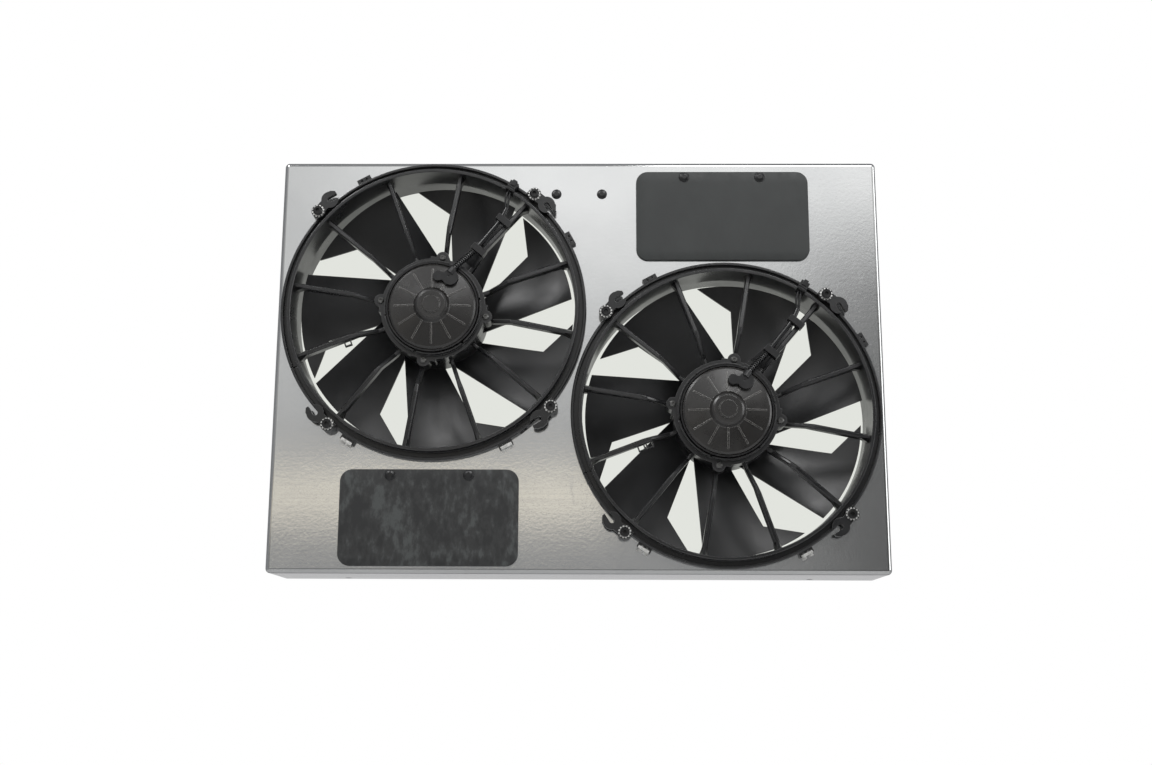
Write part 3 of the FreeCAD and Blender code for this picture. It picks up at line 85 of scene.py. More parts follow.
class Graph:
    """A material's node tree with short ways to add and join its nodes."""

    # A Mix node's sockets for colours: share, first and second colour, and the result.
    MIX_INPUTS = (0, 6, 7)
    MIX_RESULT = 2
    EDGE_SAMPLES = 6
    # Cosine between true and rounded normal where an edge begins to show, and where it shows in full.
    EDGE_STARTS, EDGE_FULL = 0.985, 0.86

    def __init__(self, name: str) -> None:
        """Make a material around a Principled shader.

        Args:
            name: the material's name.
        """
        self.material = bpy.data.materials.new(name)
        self.material.use_nodes = True
        self.nodes = self.material.node_tree.nodes
        self.links = self.material.node_tree.links
        self.shader = self.nodes["Principled BSDF"]

    def add(self, kind: str, inputs: dict | None = None, **settings: object) -> bpy.types.Node:
        """Add a node.

        Args:
            kind: the node's type, such as ShaderNodeTexNoise.
            inputs: values or sockets for its inputs, by name or index.
            settings: attributes to set on the node.

        Returns:
            The new node.
        """
        node = self.nodes.new(kind)
        for key, value in settings.items():
            setattr(node, key, value)
        for key, value in (inputs or {}).items():
            if isinstance(value, Socket):
                self.links.new(value, node.inputs[key])
            else:
                node.inputs[key].default_value = value
        return node

    def place(self, stretch: Point = (1.0, 1.0, 1.0)) -> Socket:
        """The object's own coordinates, stretched.

        Args:
            stretch: factor along each axis.

        Returns:
            The socket that carries them.
        """
        source = self.add("ShaderNodeTexCoord").outputs["Object"]
        return self.add("ShaderNodeMapping", {"Vector": source, "Scale": stretch}).outputs[0]

    def noise(
        self, scale: float, detail: float, rough: float = 0.5, stretch: Point = (1.0, 1.0, 1.0)
    ) -> Socket:
        """A noise pattern's value.

        Args:
            scale: cells per metre.
            detail: octaves.
            rough: weight of the finer octaves.
            stretch: factor along each axis.

        Returns:
            The socket that carries the value, about 0.5 on average.
        """
        values = {"Vector": self.place(stretch), "Scale": scale, "Detail": detail, "Roughness": rough}
        return self.add("ShaderNodeTexNoise", values).outputs["Fac"]

    def span(
        self, value: Socket, low: float, high: float, start: float = 0.0, end: float = 1.0
    ) -> Socket:
        """Map a value's range onto another, clamped.

        Args:
            value: what to map.
            low: value that maps to start.
            high: value that maps to end.
            start: result at low.
            end: result at high.

        Returns:
            The socket that carries the result.
        """
        inputs = {"Value": value, "From Min": low, "From Max": high, "To Min": start, "To Max": end}
        return self.add("ShaderNodeMapRange", inputs).outputs[0]

    def blend(self, share: Socket, first: Paint, second: Paint) -> Socket:
        """Blend two colours.

        Args:
            share: how much of the second, from 0 to 1.
            first: a colour or socket.
            second: a colour or socket.

        Returns:
            The socket that carries the colour.
        """
        node = self.add("ShaderNodeMix", data_type="RGBA")
        for index, value in zip(self.MIX_INPUTS, (share, first, second)):
            if isinstance(value, tuple):
                node.inputs[index].default_value = (*value, 1.0)
            else:
                self.links.new(value, node.inputs[index])
        return node.outputs[self.MIX_RESULT]

    def bump(
        self, height: Socket, distance: float, strength: float, under: Socket | None = None
    ) -> Socket:
        """A bump made from a height.

        Args:
            height: 0 to 1.
            distance: what a height of 1 stands for, in metres.
            strength: share of the effect.
            under: a bump that this one adds to.

        Returns:
            The socket that carries the normal.
        """
        inputs = {"Height": height, "Distance": distance, "Strength": strength}
        if under is not None:
            inputs["Normal"] = under
        return self.add("ShaderNodeBump", inputs).outputs[0]

    def combine(self, way: Sum, first: Socket, second: Socket) -> Socket:
        """Put two values together.

        Args:
            way: how they are put together.
            first: a value.
            second: a value.

        Returns:
            The socket that carries the result.
        """
        return self.add("ShaderNodeMath", {0: first, 1: second}, operation=way.value).outputs[0]

    def edges(self, radius: float) -> tuple[Socket, Socket]:
        """Softened edges: the rounded normal, and how strongly a place is an edge.

        Args:
            radius: how far from an edge the softening reaches, in metres.

        Returns:
            The sockets that carry the normal and the edge's strength from 0 to 1.
        """
        soft = self.add("ShaderNodeBevel", {"Radius": radius}, samples=self.EDGE_SAMPLES).outputs[0]
        true = self.add("ShaderNodeNewGeometry").outputs["Normal"]
        turn = self.add("ShaderNodeVectorMath", {0: soft, 1: true}, operation="DOT_PRODUCT")
        return soft, self.span(turn.outputs["Value"], self.EDGE_STARTS, self.EDGE_FULL)

    def finish(self, **sockets: object) -> Material:
        """Set the shader's sockets.

        Args:
            sockets: values or sockets, by name with underscores for spaces.

        Returns:
            The material.
        """
        for key, value in sockets.items():
            target = self.shader.inputs[key.replace("_", " ")]
            if isinstance(value, Socket):
                self.links.new(value, target)
            elif isinstance(value, tuple) and len(value) == 3:
                target.default_value = (*value, 1.0)
            else:
                target.default_value = value
        return self.material


@dataclass(frozen=True)
class CoatedAluminium:
    """Bare sheet with a thin clear coat: faint rolling lines, orange peel, bright specks and scuffs.

    In each finish a scale is in cells per metre and a height is in metres.
    """

    name: str = "coated_aluminium"
    colour: Colour = (0.79, 0.80, 0.798)
    shade: Colour = (0.71, 0.72, 0.722)
    roughness: float = 0.105
    peel: float = 0.7
    rim: Colour = (0.9, 0.9, 0.9)
    metallic: float = 0.94
    coat: float = 0.1
    coat_roughness: float = 0.12
    line_stretch: Point = (14.0, 400.0, 900.0)
    line_height: float = 0.0000015
    peel_scale: float = 330.0
    peel_height: float = 0.00006
    cloud_scale: float = 7.0
    scuff_scale: float = 2.2
    scuff_stretch: Point = (30.0, 30.0, 6.0)
    scuff_roughness: float = 0.07
    speck_scale: float = 700.0
    speck_height: float = 0.00002
    speck_shine: float = 0.05

    def build(self) -> Material:
        """Make the finish.

        Returns:
            The material.
        """
        g = Graph(self.name)
        lines = g.noise(1.0, 3.0, stretch=self.line_stretch)
        peel = g.noise(self.peel_scale, 3.0, 0.55)
        cloud = g.noise(self.cloud_scale, 5.0, 0.6)
        scuff = g.span(g.noise(self.scuff_scale, 8.0, 0.7, self.scuff_stretch), 0.62, 0.72)
        speck = g.span(g.noise(self.speck_scale, 1.0), 0.66, 0.74)
        rough = g.span(lines, 0.3, 0.7, self.roughness - 0.015, self.roughness + 0.02)
        rough = g.combine(Sum.ADD, rough, g.span(scuff, 0.0, 1.0, 0.0, self.scuff_roughness))
        rough = g.combine(Sum.SUBTRACT, rough, g.span(speck, 0.0, 1.0, 0.0, self.speck_shine))
        under = g.bump(speck, self.speck_height, 0.6, g.bump(peel, self.peel_height, self.peel))
        return g.finish(
            Base_Color=g.blend(g.span(cloud, 0.35, 0.7), self.colour, self.shade),
            Metallic=self.metallic,
            Roughness=rough,
            Normal=g.bump(lines, self.line_height, 0.3, under),
            Specular_Tint=self.rim,
            Coat_Weight=self.coat,
            Coat_Roughness=self.coat_roughness,
        )


@dataclass(frozen=True)
class MouldedPlastic:
    """Black glass-filled plastic: fine grain, smeared sheen in patches, a little dust, and a painted
    highlight: lighter colour along its edges.
    """

    name: str
    colour: Colour = (0.0085, 0.0088, 0.0095)
    dust: Colour = (0.045, 0.045, 0.046)
    roughness: float = 0.3
    grain: float = 0.00003
    dusting: float = 0.3
    gloss: float = 0.5
    edge_radius: float = 0.0006
    # Painted highlight along edges: its greatest and least strength, and its lighter colour.
    highlight_strength: float = 0.55
    least_highlight: float = 0.25
    blotch_and_edge_highlight: Colour = (0.085, 0.085, 0.085)
    grain_scale: float = 1500.0
    flow_scale: float = 32.0
    smear_scale: float = 9.0
    smear_roughness: float = 0.08
    highlight_break_scale: float = 60.0

    def build(self) -> Material:
        """Make the finish.

        Returns:
            The material.
        """
        g = Graph(self.name)
        fine = g.noise(self.grain_scale, 2.0)
        flow = g.noise(self.flow_scale, 6.0, 0.62)
        smear = g.noise(self.smear_scale, 4.0, 0.55)
        colour = g.blend(g.span(flow, 0.5, 0.78, 0.0, self.dusting), self.colour, self.dust)
        rough = g.span(flow, 0.3, 0.7, self.roughness - 0.06, self.roughness + 0.08)
        rough = g.combine(Sum.ADD, rough, g.span(smear, 0.4, 0.7, 0.0, self.smear_roughness))
        # Painted highlight: the base colour turns lighter along edges that the bevel finds, broken up by
        # noise.
        soft, edge = g.edges(self.edge_radius)
        highlight_share = g.span(g.noise(self.highlight_break_scale, 4.0, 0.6), 0.3, 0.65, self.least_highlight, self.highlight_strength)
        return g.finish(
            Base_Color=g.blend(g.combine(Sum.MULTIPLY, edge, highlight_share), colour, self.blotch_and_edge_highlight),
            Roughness=rough,
            Normal=g.bump(fine, self.grain, 0.5, soft),
            Specular_IOR_Level=self.gloss,
        )


@dataclass(frozen=True)
class FlapRubber:
    """Sheet rubber: fine grain, slight swells, and pale dust that has been wiped away in blotches."""

    name: str
    colour: Colour = (0.026, 0.028, 0.030)
    dark: Colour = (0.014, 0.0145, 0.0155)
    dust: Colour = (0.068, 0.074, 0.073)
    dusting: float = 0.2
    darkening: float = 0.25
    roughness: float = 0.5
    gloss: float = 0.45
    blotch_scale: float = 150.0
    blotch_stretch: Point = (1.0, 1.0, 0.5)
    broad_scale: float = 30.0
    broad_stretch: Point = (1.0, 1.0, 0.7)
    grain_scale: float = 1100.0
    grain_height: float = 0.00005
    scratch_scale: float = 6.0
    scratch_stretch: Point = (6.0, 6.0, 60.0)
    scratch_height: float = 0.00004
    swell_scale: float = 24.0
    swell_height: float = 0.0005

    def build(self) -> Material:
        """Make the finish.

        Returns:
            The material.
        """
        g = Graph(self.name)
        blotch = g.noise(self.blotch_scale, 6.0, 0.6, self.blotch_stretch)
        broad = g.noise(self.broad_scale, 4.0, 0.6, self.broad_stretch)
        mixed = g.combine(Sum.ADD, blotch, broad)
        wiped = g.span(mixed, 1.0, 1.16, 0.0, self.dusting)
        # Darker blotches of the rubber, at random.
        blotch_and_edge_highlight = g.span(mixed, 0.98, 0.84, 0.0, self.darkening)
        base = g.blend(blotch_and_edge_highlight, self.colour, self.dark)
        grain = g.noise(self.grain_scale, 2.0)
        swell = g.noise(self.swell_scale, 2.0)
        scratch = g.noise(self.scratch_scale, 4.0, 0.7, self.scratch_stretch)
        under = g.bump(scratch, self.scratch_height, 0.4, g.bump(swell, self.swell_height, 0.35))
        return g.finish(
            Base_Color=g.blend(wiped, base, self.dust),
            Roughness=g.span(blotch, 0.3, 0.7, self.roughness - 0.08, self.roughness + 0.1),
            Normal=g.bump(grain, self.grain_height, 0.6, under),
            Specular_IOR_Level=self.gloss,
        )


@dataclass(frozen=True)
class PlatedSteel:
    """Zinc-plated or oiled steel: cloudy plating, small scratches, a darker film in patches."""

    name: str
    colour: Colour = (0.62, 0.62, 0.6)
    film: Colour = (0.36, 0.35, 0.33)
    roughness: float = 0.3
    metallic: float = 1.0
    cloud_scale: float = 220.0
    scratch_scale: float = 700.0
    scratch_stretch: Point = (1.0, 1.0, 9.0)
    scratch_height: float = 0.00002

    def build(self) -> Material:
        """Make the finish.

        Returns:
            The material.
        """
        g = Graph(self.name)
        cloud = g.noise(self.cloud_scale, 5.0, 0.6)
        scratch = g.noise(self.scratch_scale, 3.0, stretch=self.scratch_stretch)
        return g.finish(
            Base_Color=g.blend(g.span(cloud, 0.42, 0.7, 0.0, 0.8), self.colour, self.film),
            Metallic=self.metallic,
            Roughness=g.span(cloud, 0.3, 0.7, self.roughness - 0.06, self.roughness + 0.14),
            Normal=g.bump(scratch, self.scratch_height, 0.6),
        )


@dataclass(frozen=True)
class Finishes:
    """Every finish of the shroud, each built once."""

    tray: Material = field(default_factory=CoatedAluminium().build)
    # Painted shade: the walls and bends take a darker copy of the sheet's finish, with darker reflections.
    bends: Material = field(
        default_factory=CoatedAluminium(
            "bent_aluminium_painted_shade",
            colour=(0.52, 0.525, 0.52),
            shade=(0.45, 0.455, 0.455),
            roughness=0.085,
            peel=0.15,
            rim=(0.3, 0.3, 0.31),
        ).build
    )
    # These plastics paint a highlight along their edges; the frame's and the cover's are the strongest.
    frame: Material = field(
        default_factory=MouldedPlastic(
            "frame_plastic", roughness=0.27, gloss=0.65, blotch_and_edge_highlight=(0.2, 0.2, 0.198), highlight_strength=0.75
        ).build
    )
    blades: Material = field(
        default_factory=MouldedPlastic("impeller_plastic", roughness=0.35, dusting=0.12, gloss=0.6).build
    )
    cover: Material = field(
        default_factory=MouldedPlastic(
            "cover_plastic",
            colour=(0.0165, 0.0155, 0.0145),
            dust=(0.05, 0.048, 0.045),
            roughness=0.24,
            gloss=0.65,
            edge_radius=0.0007,
            highlight_strength=1.0,
            least_highlight=0.55,
            blotch_and_edge_highlight=(0.36, 0.35, 0.33),
        ).build
    )
    fitting: Material = field(
        default_factory=MouldedPlastic(
            "fitting_plastic", roughness=0.28, dusting=0.15, blotch_and_edge_highlight=(0.14, 0.14, 0.14)
        ).build
    )
    upper_flap: Material = field(
        default_factory=FlapRubber(
            "flap_rubber_clean", colour=(0.029, 0.032, 0.0315), dusting=0.08, darkening=0.12
        ).build
    )
    lower_flap: Material = field(
        default_factory=FlapRubber(
            "flap_rubber_dusty", colour=(0.033, 0.034, 0.034), dusting=0.9, darkening=0.6
        ).build
    )
    lead: Material = field(
        default_factory=MouldedPlastic("lead_rubber", roughness=0.32, dusting=0.3).build
    )
    sheath: Material = field(
        default_factory=MouldedPlastic("lead_sheath", roughness=0.18, dusting=0.1, gloss=0.6).build
    )
    zinc: Material = field(default_factory=PlatedSteel("zinc_steel").build)
    bright_zinc: Material = field(
        default_factory=PlatedSteel(
            "bright_zinc", colour=(0.84, 0.84, 0.82), film=(0.3, 0.3, 0.29),
            roughness=0.38, metallic=0.8,
        ).build
    )
    oiled_steel: Material = field(
        default_factory=PlatedSteel(
            "oiled_steel", colour=(0.16, 0.16, 0.155), film=(0.05, 0.05, 0.048),
            roughness=0.34, metallic=0.85,
        ).build
    )
    black_steel: Material = field(
        default_factory=PlatedSteel(
            "black_steel", colour=(0.014, 0.014, 0.015), film=(0.03, 0.029, 0.028),
            roughness=0.26, metallic=0.4,
        ).build
    )
    shaft: Material = field(
        default_factory=PlatedSteel("ground_steel", colour=(0.5, 0.5, 0.5), roughness=0.22).build
    )
    iron: Material = field(
        default_factory=PlatedSteel(
            "armature_iron", colour=(0.3, 0.2, 0.13), film=(0.12, 0.1, 0.09), roughness=0.45
        ).build
    )
    magnet: Material = field(
        default_factory=PlatedSteel(
            "magnet_ferrite", colour=(0.07, 0.07, 0.075), film=(0.04, 0.04, 0.042),
            roughness=0.6, metallic=0.2,
        ).build
    )


def dress(node: str, material: Material) -> None:
    """Give a carried-over node its finish.

    Args:
        node: the node's name.
        material: its finish.
    """
    Bench.dress(frame["nodes"][node], material)


# ------------------------------------------------------------------ modelling


class Bench:
    """Where new pieces are modelled: short ways to start, shape, finish and copy a mesh."""

    LINE_ORDER = 3
    TUBE_STEPS, TUBE_ROUNDNESS, TUBE_SMOOTHING = 8, 4, 60.0
    GUIDE_STEPS = 24

    @staticmethod
    def clear() -> None:
        """Leave edit mode and deselect everything."""
        if bpy.context.mode != "OBJECT":
            bpy.ops.object.mode_set(mode="OBJECT")
        bpy.ops.object.select_all(action="DESELECT")

    @staticmethod
    def only(obj: bpy.types.Object) -> None:
        """Select one object alone and make it active.

        Args:
            obj: the object.
        """
        Bench.clear()
        obj.select_set(True)
        bpy.context.view_layer.objects.active = obj

    @staticmethod
    def apply(obj: bpy.types.Object) -> None:
        """Put an object's place, turn and size into its mesh."""
        Bench.only(obj)
        bpy.ops.object.transform_apply(location=True, rotation=True, scale=True)

    @staticmethod
    def modify(obj: bpy.types.Object, kind: str, **settings: object) -> None:
        """Add a modifier and apply it.

        Args:
            obj: the piece.
            kind: the modifier's type.
            settings: its settings.
        """
        Bench.only(obj)
        modifier = obj.modifiers.new(kind.lower(), kind)
        for key, value in settings.items():
            setattr(modifier, key, value)
        bpy.ops.object.modifier_apply(modifier=modifier.name)

    @staticmethod
    def smooth(obj: bpy.types.Object, degrees: float) -> None:
        """Shade a piece smooth except at edges sharper than that angle."""
        Bench.only(obj)
        bpy.ops.object.shade_smooth_by_angle(angle=math.radians(degrees))

    @staticmethod
    def copy(obj: bpy.types.Object, name: str, matrix: Matrix) -> bpy.types.Object:
        """Copy a piece with its own mesh.

        Args:
            obj: the piece.
            name: the copy's name.
            matrix: how the copy's mesh is placed.

        Returns:
            The copy.
        """
        twin = bpy.data.objects.new(name, obj.data.copy())
        twin.data.transform(matrix)
        bpy.context.scene.collection.objects.link(twin)
        return twin

    @staticmethod
    def join(pieces: Sequence[bpy.types.Object], name: str) -> bpy.types.Object:
        """Join pieces into one.

        Args:
            pieces: what to join; the first takes the others in.
            name: the joined piece's name.

        Returns:
            The joined piece.
        """
        Bench.clear()
        for piece in pieces:
            piece.select_set(True)
        bpy.context.view_layer.objects.active = pieces[0]
        if len(pieces) > 1:
            bpy.ops.object.join()
        pieces[0].name = name
        pieces[0].data.name = name
        return pieces[0]

    @staticmethod
    def curve(name: str, points: Sequence[Vector], steps: int) -> bpy.types.Curve:
        """A smooth line drawn by control points.

        Args:
            name: its name.
            points: the line's control points.
            steps: how finely it is divided.

        Returns:
            The curve.
        """
        curve = bpy.data.curves.new(name, "CURVE")
        curve.dimensions = "3D"
        curve.resolution_u = steps
        spline = curve.splines.new("NURBS")
        spline.points.add(len(points) - 1)
        for point, place in zip(spline.points, points):
            point.co = (*place, 1.0)
        spline.order_u = Bench.LINE_ORDER
        spline.use_endpoint_u = True
        return curve

    @staticmethod
    def tube(name: str, points: Sequence[Vector], radius: float) -> bpy.types.Object:
        """A round tube along a smooth line.

        Args:
            name: its name.
            points: the line's control points.
            radius: the tube's radius.

        Returns:
            The tube as a mesh with closed ends.
        """
        curve = Bench.curve(name, points, Bench.TUBE_STEPS)
        curve.bevel_depth = radius
        curve.bevel_resolution = Bench.TUBE_ROUNDNESS
        curve.use_fill_caps = True
        obj = bpy.data.objects.new(name, curve)
        bpy.context.scene.collection.objects.link(obj)
        Bench.only(obj)
        bpy.ops.object.convert(target="MESH")
        Bench.smooth(obj, Bench.TUBE_SMOOTHING)
        return obj

    @staticmethod
    def line(points: Sequence[Vector]) -> list[Vector]:
        """Evenly read places along the smooth line drawn by control points.

        Args:
            points: the line's control points.

        Returns:
            The places, from the line's start to its end.
        """
        curve = Bench.curve("guide", points, Bench.GUIDE_STEPS)
        guide = bpy.data.objects.new("guide", curve)
        mesh = bpy.data.meshes.new_from_object(guide)
        places = [vertex.co.copy() for vertex in mesh.vertices]
        bpy.data.objects.remove(guide)
        bpy.data.curves.remove(curve)
        bpy.data.meshes.remove(mesh)
        return places

    @staticmethod
    def dress(obj: bpy.types.Object, material: Material) -> None:
        """Give a new piece its finish."""
        obj.data.materials.clear()
        obj.data.materials.append(material)


# ------------------------------------------------------------------ pieces


@dataclass
class Tray:
    """The folded tray with what is fixed straight to it."""

    finishes: Finishes

    def build(self) -> None:
        """Dress the tray, its nuts, rivets and plugs."""
        dress("tray_face", self.finishes.tray)
        # The walls get the darker copy of the sheet's finish: painted shade.
        dress("tray_walls", self.finishes.bends)
        dress("clinch_nuts", self.finishes.zinc)
        dress("flap_rivets", self.finishes.fitting)
        dress("panel_plugs", self.finishes.fitting)
        log.info("tray dressed")


@dataclass
class MotorLead:
    """A motor's lead: a ribbed sleeve at the motor, a smooth sheath along the strut, two wires at the rim.

    Routes are given round the fan's axis: radius in metres, angle in degrees, depth behind the face.
    """

    side: Side
    centre: Point
    finishes: Finishes
    route: tuple[Point, ...] = (
        (0.0465, 60.4, -0.0234),
        (0.0560, 59.0, -0.0216),
        (0.0670, 57.0, -0.0166),
        (0.0800, 55.2, -0.0136),
        (0.1030, 54.4, -0.0128),
        (0.1240, 53.8, -0.0126),
        (0.1380, 55.2, -0.0120),
    )
    wire_route: tuple[Point, ...] = (
        (0.1380, 55.2, -0.0120),
        (0.1475, 57.4, -0.0132),
        (0.1560, 58.3, -0.0128),
    )
    sheath_radius: float = 0.0026
    wire_radius: float = 0.0012
    wire_spread: float = 0.0012
    wire_bows: tuple[float, float] = (0.0012, 0.0042)
    rib_radius: float = 0.0030
    rib_wire: float = 0.0007
    rib_flatness: float = 0.75
    rib_smoothing: float = 80.0
    rib_count: int = 11
    rib_from: float = 0.0500
    rib_to: float = 0.0755

    def place(self, radius: float, angle: float, depth: float) -> Vector:
        """A place given round the fan's axis, as a point of the frame.

        Args:
            radius: distance from the axis, in metres.
            angle: turn about the axis from the right-hand side, in degrees.
            depth: place along the axis from the tray's foremost face, in metres.

        Returns:
            The point.
        """
        x, y, z = self.centre
        turn = math.radians(angle)
        return Vector((x + radius * math.cos(turn), y + depth, z + radius * math.sin(turn)))

    def build(self) -> None:
        """Make the sheath, the ribbed sleeve and the two wires."""
        name = f"{self.side.value}_lead_sheath"
        points = [self.place(*point) for point in self.route]
        sheath = Bench.tube(name, points, self.sheath_radius)
        Bench.dress(sheath, self.finishes.sheath)
        self.settle(sheath)
        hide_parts(f"{self.side.value}_motor_lead")
        sleeve = self.sleeve(Bench.line(points))
        Bench.dress(sleeve, self.finishes.lead)
        self.settle(sleeve)
        wires = self.wires()
        Bench.dress(wires, self.finishes.lead)
        self.settle(wires)
        log.info("%s lead built", self.side.value)

    def settle(self, piece: bpy.types.Object) -> None:
        """Make a piece ride on the shroud."""
        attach(piece, "shroud")

    def sleeve(self, line: Sequence[Vector]) -> bpy.types.Object:
        """The ribbed sleeve: one rib modelled once and repeated along the lead.

        Args:
            line: places along the lead.

        Returns:
            The sleeve.
        """
        Bench.clear()
        bpy.ops.mesh.primitive_torus_add(
            major_radius=self.rib_radius, minor_radius=self.rib_wire, major_segments=24, minor_segments=8
        )
        rib = bpy.context.active_object
        rib.scale = (1.0, 1.0, self.rib_flatness)
        Bench.apply(rib)
        Bench.smooth(rib, self.rib_smoothing)
        x, _, z = self.centre
        spans = [(math.hypot(p.x - x, p.z - z), i) for i, p in enumerate(line)]
        ribs = []
        for i in range(self.rib_count):
            goal = self.rib_from + (self.rib_to - self.rib_from) * i / (self.rib_count - 1)
            index = min(spans, key=lambda item: abs(item[0] - goal))[1]
            ahead = line[min(index + 1, len(line) - 1)] - line[max(index - 1, 0)]
            turn = ahead.to_track_quat("Z", "Y").to_matrix().to_4x4()
            ribs.append(Bench.copy(rib, f"rib_{i}", Matrix.Translation(line[index]) @ turn))
        bpy.data.objects.remove(rib)
        return Bench.join(ribs, f"{self.side.value}_lead_sleeve")

    def wires(self) -> bpy.types.Object:
        """The two wires from the sheath's end to the connector, bowed apart.

        Returns:
            Both wires as one piece.
        """
        tubes = []
        for sign, bow in zip((-1.0, 1.0), self.wire_bows):
            places = []
            for index, (radius, angle, depth) in enumerate(self.wire_route):
                spread = sign * (bow if index == 1 else self.wire_spread)
                places.append(self.place(radius, angle + math.degrees(spread / radius), depth))
            tubes.append(Bench.tube(f"wire_{len(tubes)}", places, self.wire_radius))
        return Bench.join(tubes, f"{self.side.value}_lead_wires")


@dataclass
class Fan:
    """One fan: its moulded frame, motor, impeller, fixings and lead."""

    side: Side
    centre: Point
    finishes: Finishes

    def build(self) -> None:
        """Dress the fan's pieces and build its lead."""
        f = self.finishes
        looks = {
            "fan_ring": f.frame,
            "fan_struts": f.frame,
            "motor_seat": f.frame,
            "motor_can": f.black_steel,
            "motor_cover": f.cover,
            "motor_screws": f.oiled_steel,
            "motor_magnets": f.magnet,
            "motor_bearings": f.shaft,
            "brush_holder": f.fitting,
            "motor_shaft": f.shaft,
            "motor_armature": f.iron,
            "impeller": f.blades,
            "hub_nut": f.zinc,
            "lead_grommet": f.lead,
            "motor_lead": f.lead,
            "lead_clamps": f.fitting,
            "lead_connector": f.fitting,
            "ear_screws": f.black_steel,
            "star_washers": f.bright_zinc,
            "spring_clips": f.bright_zinc,
        }
        for name, material in looks.items():
            dress(f"{self.side.value}_{name}", material)
        MotorLead(self.side, self.centre, f).build()
        log.info("%s fan dressed", self.side.value)


@dataclass
class Flap:
    """One rubber flap: a single sheet, cut into finer rows under its rivets."""

    name: str
    finish: Material
    thickness: float = 0.003
    corner: float = 0.013
    edge: float = 0.0006
    grid: float = 0.012
    standoff: float = 0.00015
    bend_above: float = 0.0015
    bend_below: float = 0.005
    bend_rows: int = 7
    bend_pitch: float = 0.0013
    bend_room: float = 0.007
    corner_steps: int = 8
    edge_steps: int = 3
    smoothing: float = 40.0

    def build(self) -> None:
        """Make the sheet in place of the leaf and its strip."""
        leaf, strip = f"{self.name}_flap", f"{self.name}_flap_anchor"
        low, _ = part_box(leaf)
        strip_low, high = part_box(strip)
        hinge = strip_low.z - self.thickness / 2
        sheet = self.sheet(low, high, hinge)
        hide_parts(leaf, strip)
        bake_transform(sheet)
        log.info("%s flap built", self.name)

    def sheet(self, low: Vector, high: Vector, hinge: float) -> bpy.types.Object:
        """The sheet at rest: rounded corners, softened edges and enough rows to bend.

        Args:
            low: its lowest corner.
            high: its highest corner.
            hinge: height of the line that it bends along.

        Returns:
            The sheet.
        """
        Bench.clear()
        front = high.y - self.standoff - self.thickness
        centre = ((low.x + high.x) / 2, front, (low.z + high.z) / 2)
        bpy.ops.mesh.primitive_plane_add(size=1.0, location=centre, rotation=(math.pi / 2, 0.0, 0.0))
        sheet = bpy.context.active_object
        sheet.name = f"{self.name}_flap_sheet"
        sheet.scale = (high.x - low.x, high.z - low.z, 1.0)
        Bench.apply(sheet)
        bpy.ops.object.mode_set(mode="EDIT")
        bpy.ops.mesh.select_all(action="SELECT")
        bpy.ops.mesh.bevel(offset=self.corner, segments=self.corner_steps, affect="VERTICES")
        self.slice_up(low, high, hinge)
        bpy.ops.object.mode_set(mode="OBJECT")
        Bench.modify(sheet, "SOLIDIFY", thickness=self.thickness, offset=-1.0)
        Bench.modify(sheet, "BEVEL", width=self.edge, segments=self.edge_steps, limit_method="ANGLE")
        Bench.smooth(sheet, self.smoothing)
        Bench.dress(sheet, self.finish)
        return sheet

    def slice_up(self, low: Vector, high: Vector, hinge: float) -> None:
        """Cut the sheet in edit mode into a grid, finer where it bends.

        Args:
            low: its lowest corner.
            high: its highest corner.
            hinge: height of the line that it bends along.
        """
        across, up = (1.0, 0.0, 0.0), (0.0, 0.0, 1.0)
        width, height = high.x - low.x, hinge - self.bend_room - low.z
        columns, rows = int(width / self.grid), int((hinge - low.z) / self.grid)
        cuts = [((low.x + width * i / columns, 0.0, 0.0), across) for i in range(1, columns)]
        cuts += [((0.0, 0.0, low.z + height * i / rows), up) for i in range(1, rows)]
        top = hinge + self.bend_above
        cuts += [((0.0, 0.0, top - self.bend_pitch * i), up) for i in range(self.bend_rows)]
        for place, normal in cuts:
            bpy.ops.mesh.select_all(action="SELECT")
            bpy.ops.mesh.bisect(plane_co=place, plane_no=normal)


# ------------------------------------------------------------------ studio


@dataclass
class Viewpoint:
    """The camera: below the tray's lower edge, looking slightly up at its engine side."""

    place: Point = (0.0165, -1.5435, -0.3317)
    tilt: float = 0.2090
    pan: float = 0.0132
    roll: float = 0.0043
    lens: float = 42.99
    sensor: float = 36.0
    clip: tuple[float, float] = (0.05, 50.0)

    def build(self) -> None:
        """Make the camera."""
        data = bpy.data.cameras.new("viewpoint")
        data.lens = self.lens
        data.sensor_width = self.sensor
        data.clip_start, data.clip_end = self.clip
        camera = bpy.data.objects.new("viewpoint", data)
        bpy.context.scene.collection.objects.link(camera)
        level = Matrix.Rotation(math.pi / 2, 4, "X")
        turn = (
            Matrix.Rotation(self.pan, 4, "Z")
            @ Matrix.Rotation(self.tilt, 4, "X")
            @ Matrix.Rotation(-self.roll, 4, "Y")
        )
        camera.matrix_world = Matrix.Translation(self.place) @ turn @ level
        bpy.context.scene.camera = camera


@dataclass
class Lamp:
    """A soft rectangular lamp aimed at a point."""

    name: str
    place: Point
    aim: Point
    size: tuple[float, float]
    power: float

    def build(self) -> None:
        """Make the lamp."""
        data = bpy.data.lights.new(self.name, "AREA")
        data.shape = "RECTANGLE"
        data.size, data.size_y = self.size
        data.energy = self.power
        lamp = bpy.data.objects.new(self.name, data)
        lamp.location = self.place
        lamp.rotation_mode = "QUATERNION"
        lamp.rotation_quaternion = (Vector(self.aim) - Vector(self.place)).to_track_quat("-Z", "Y")
        bpy.context.scene.collection.objects.link(lamp)


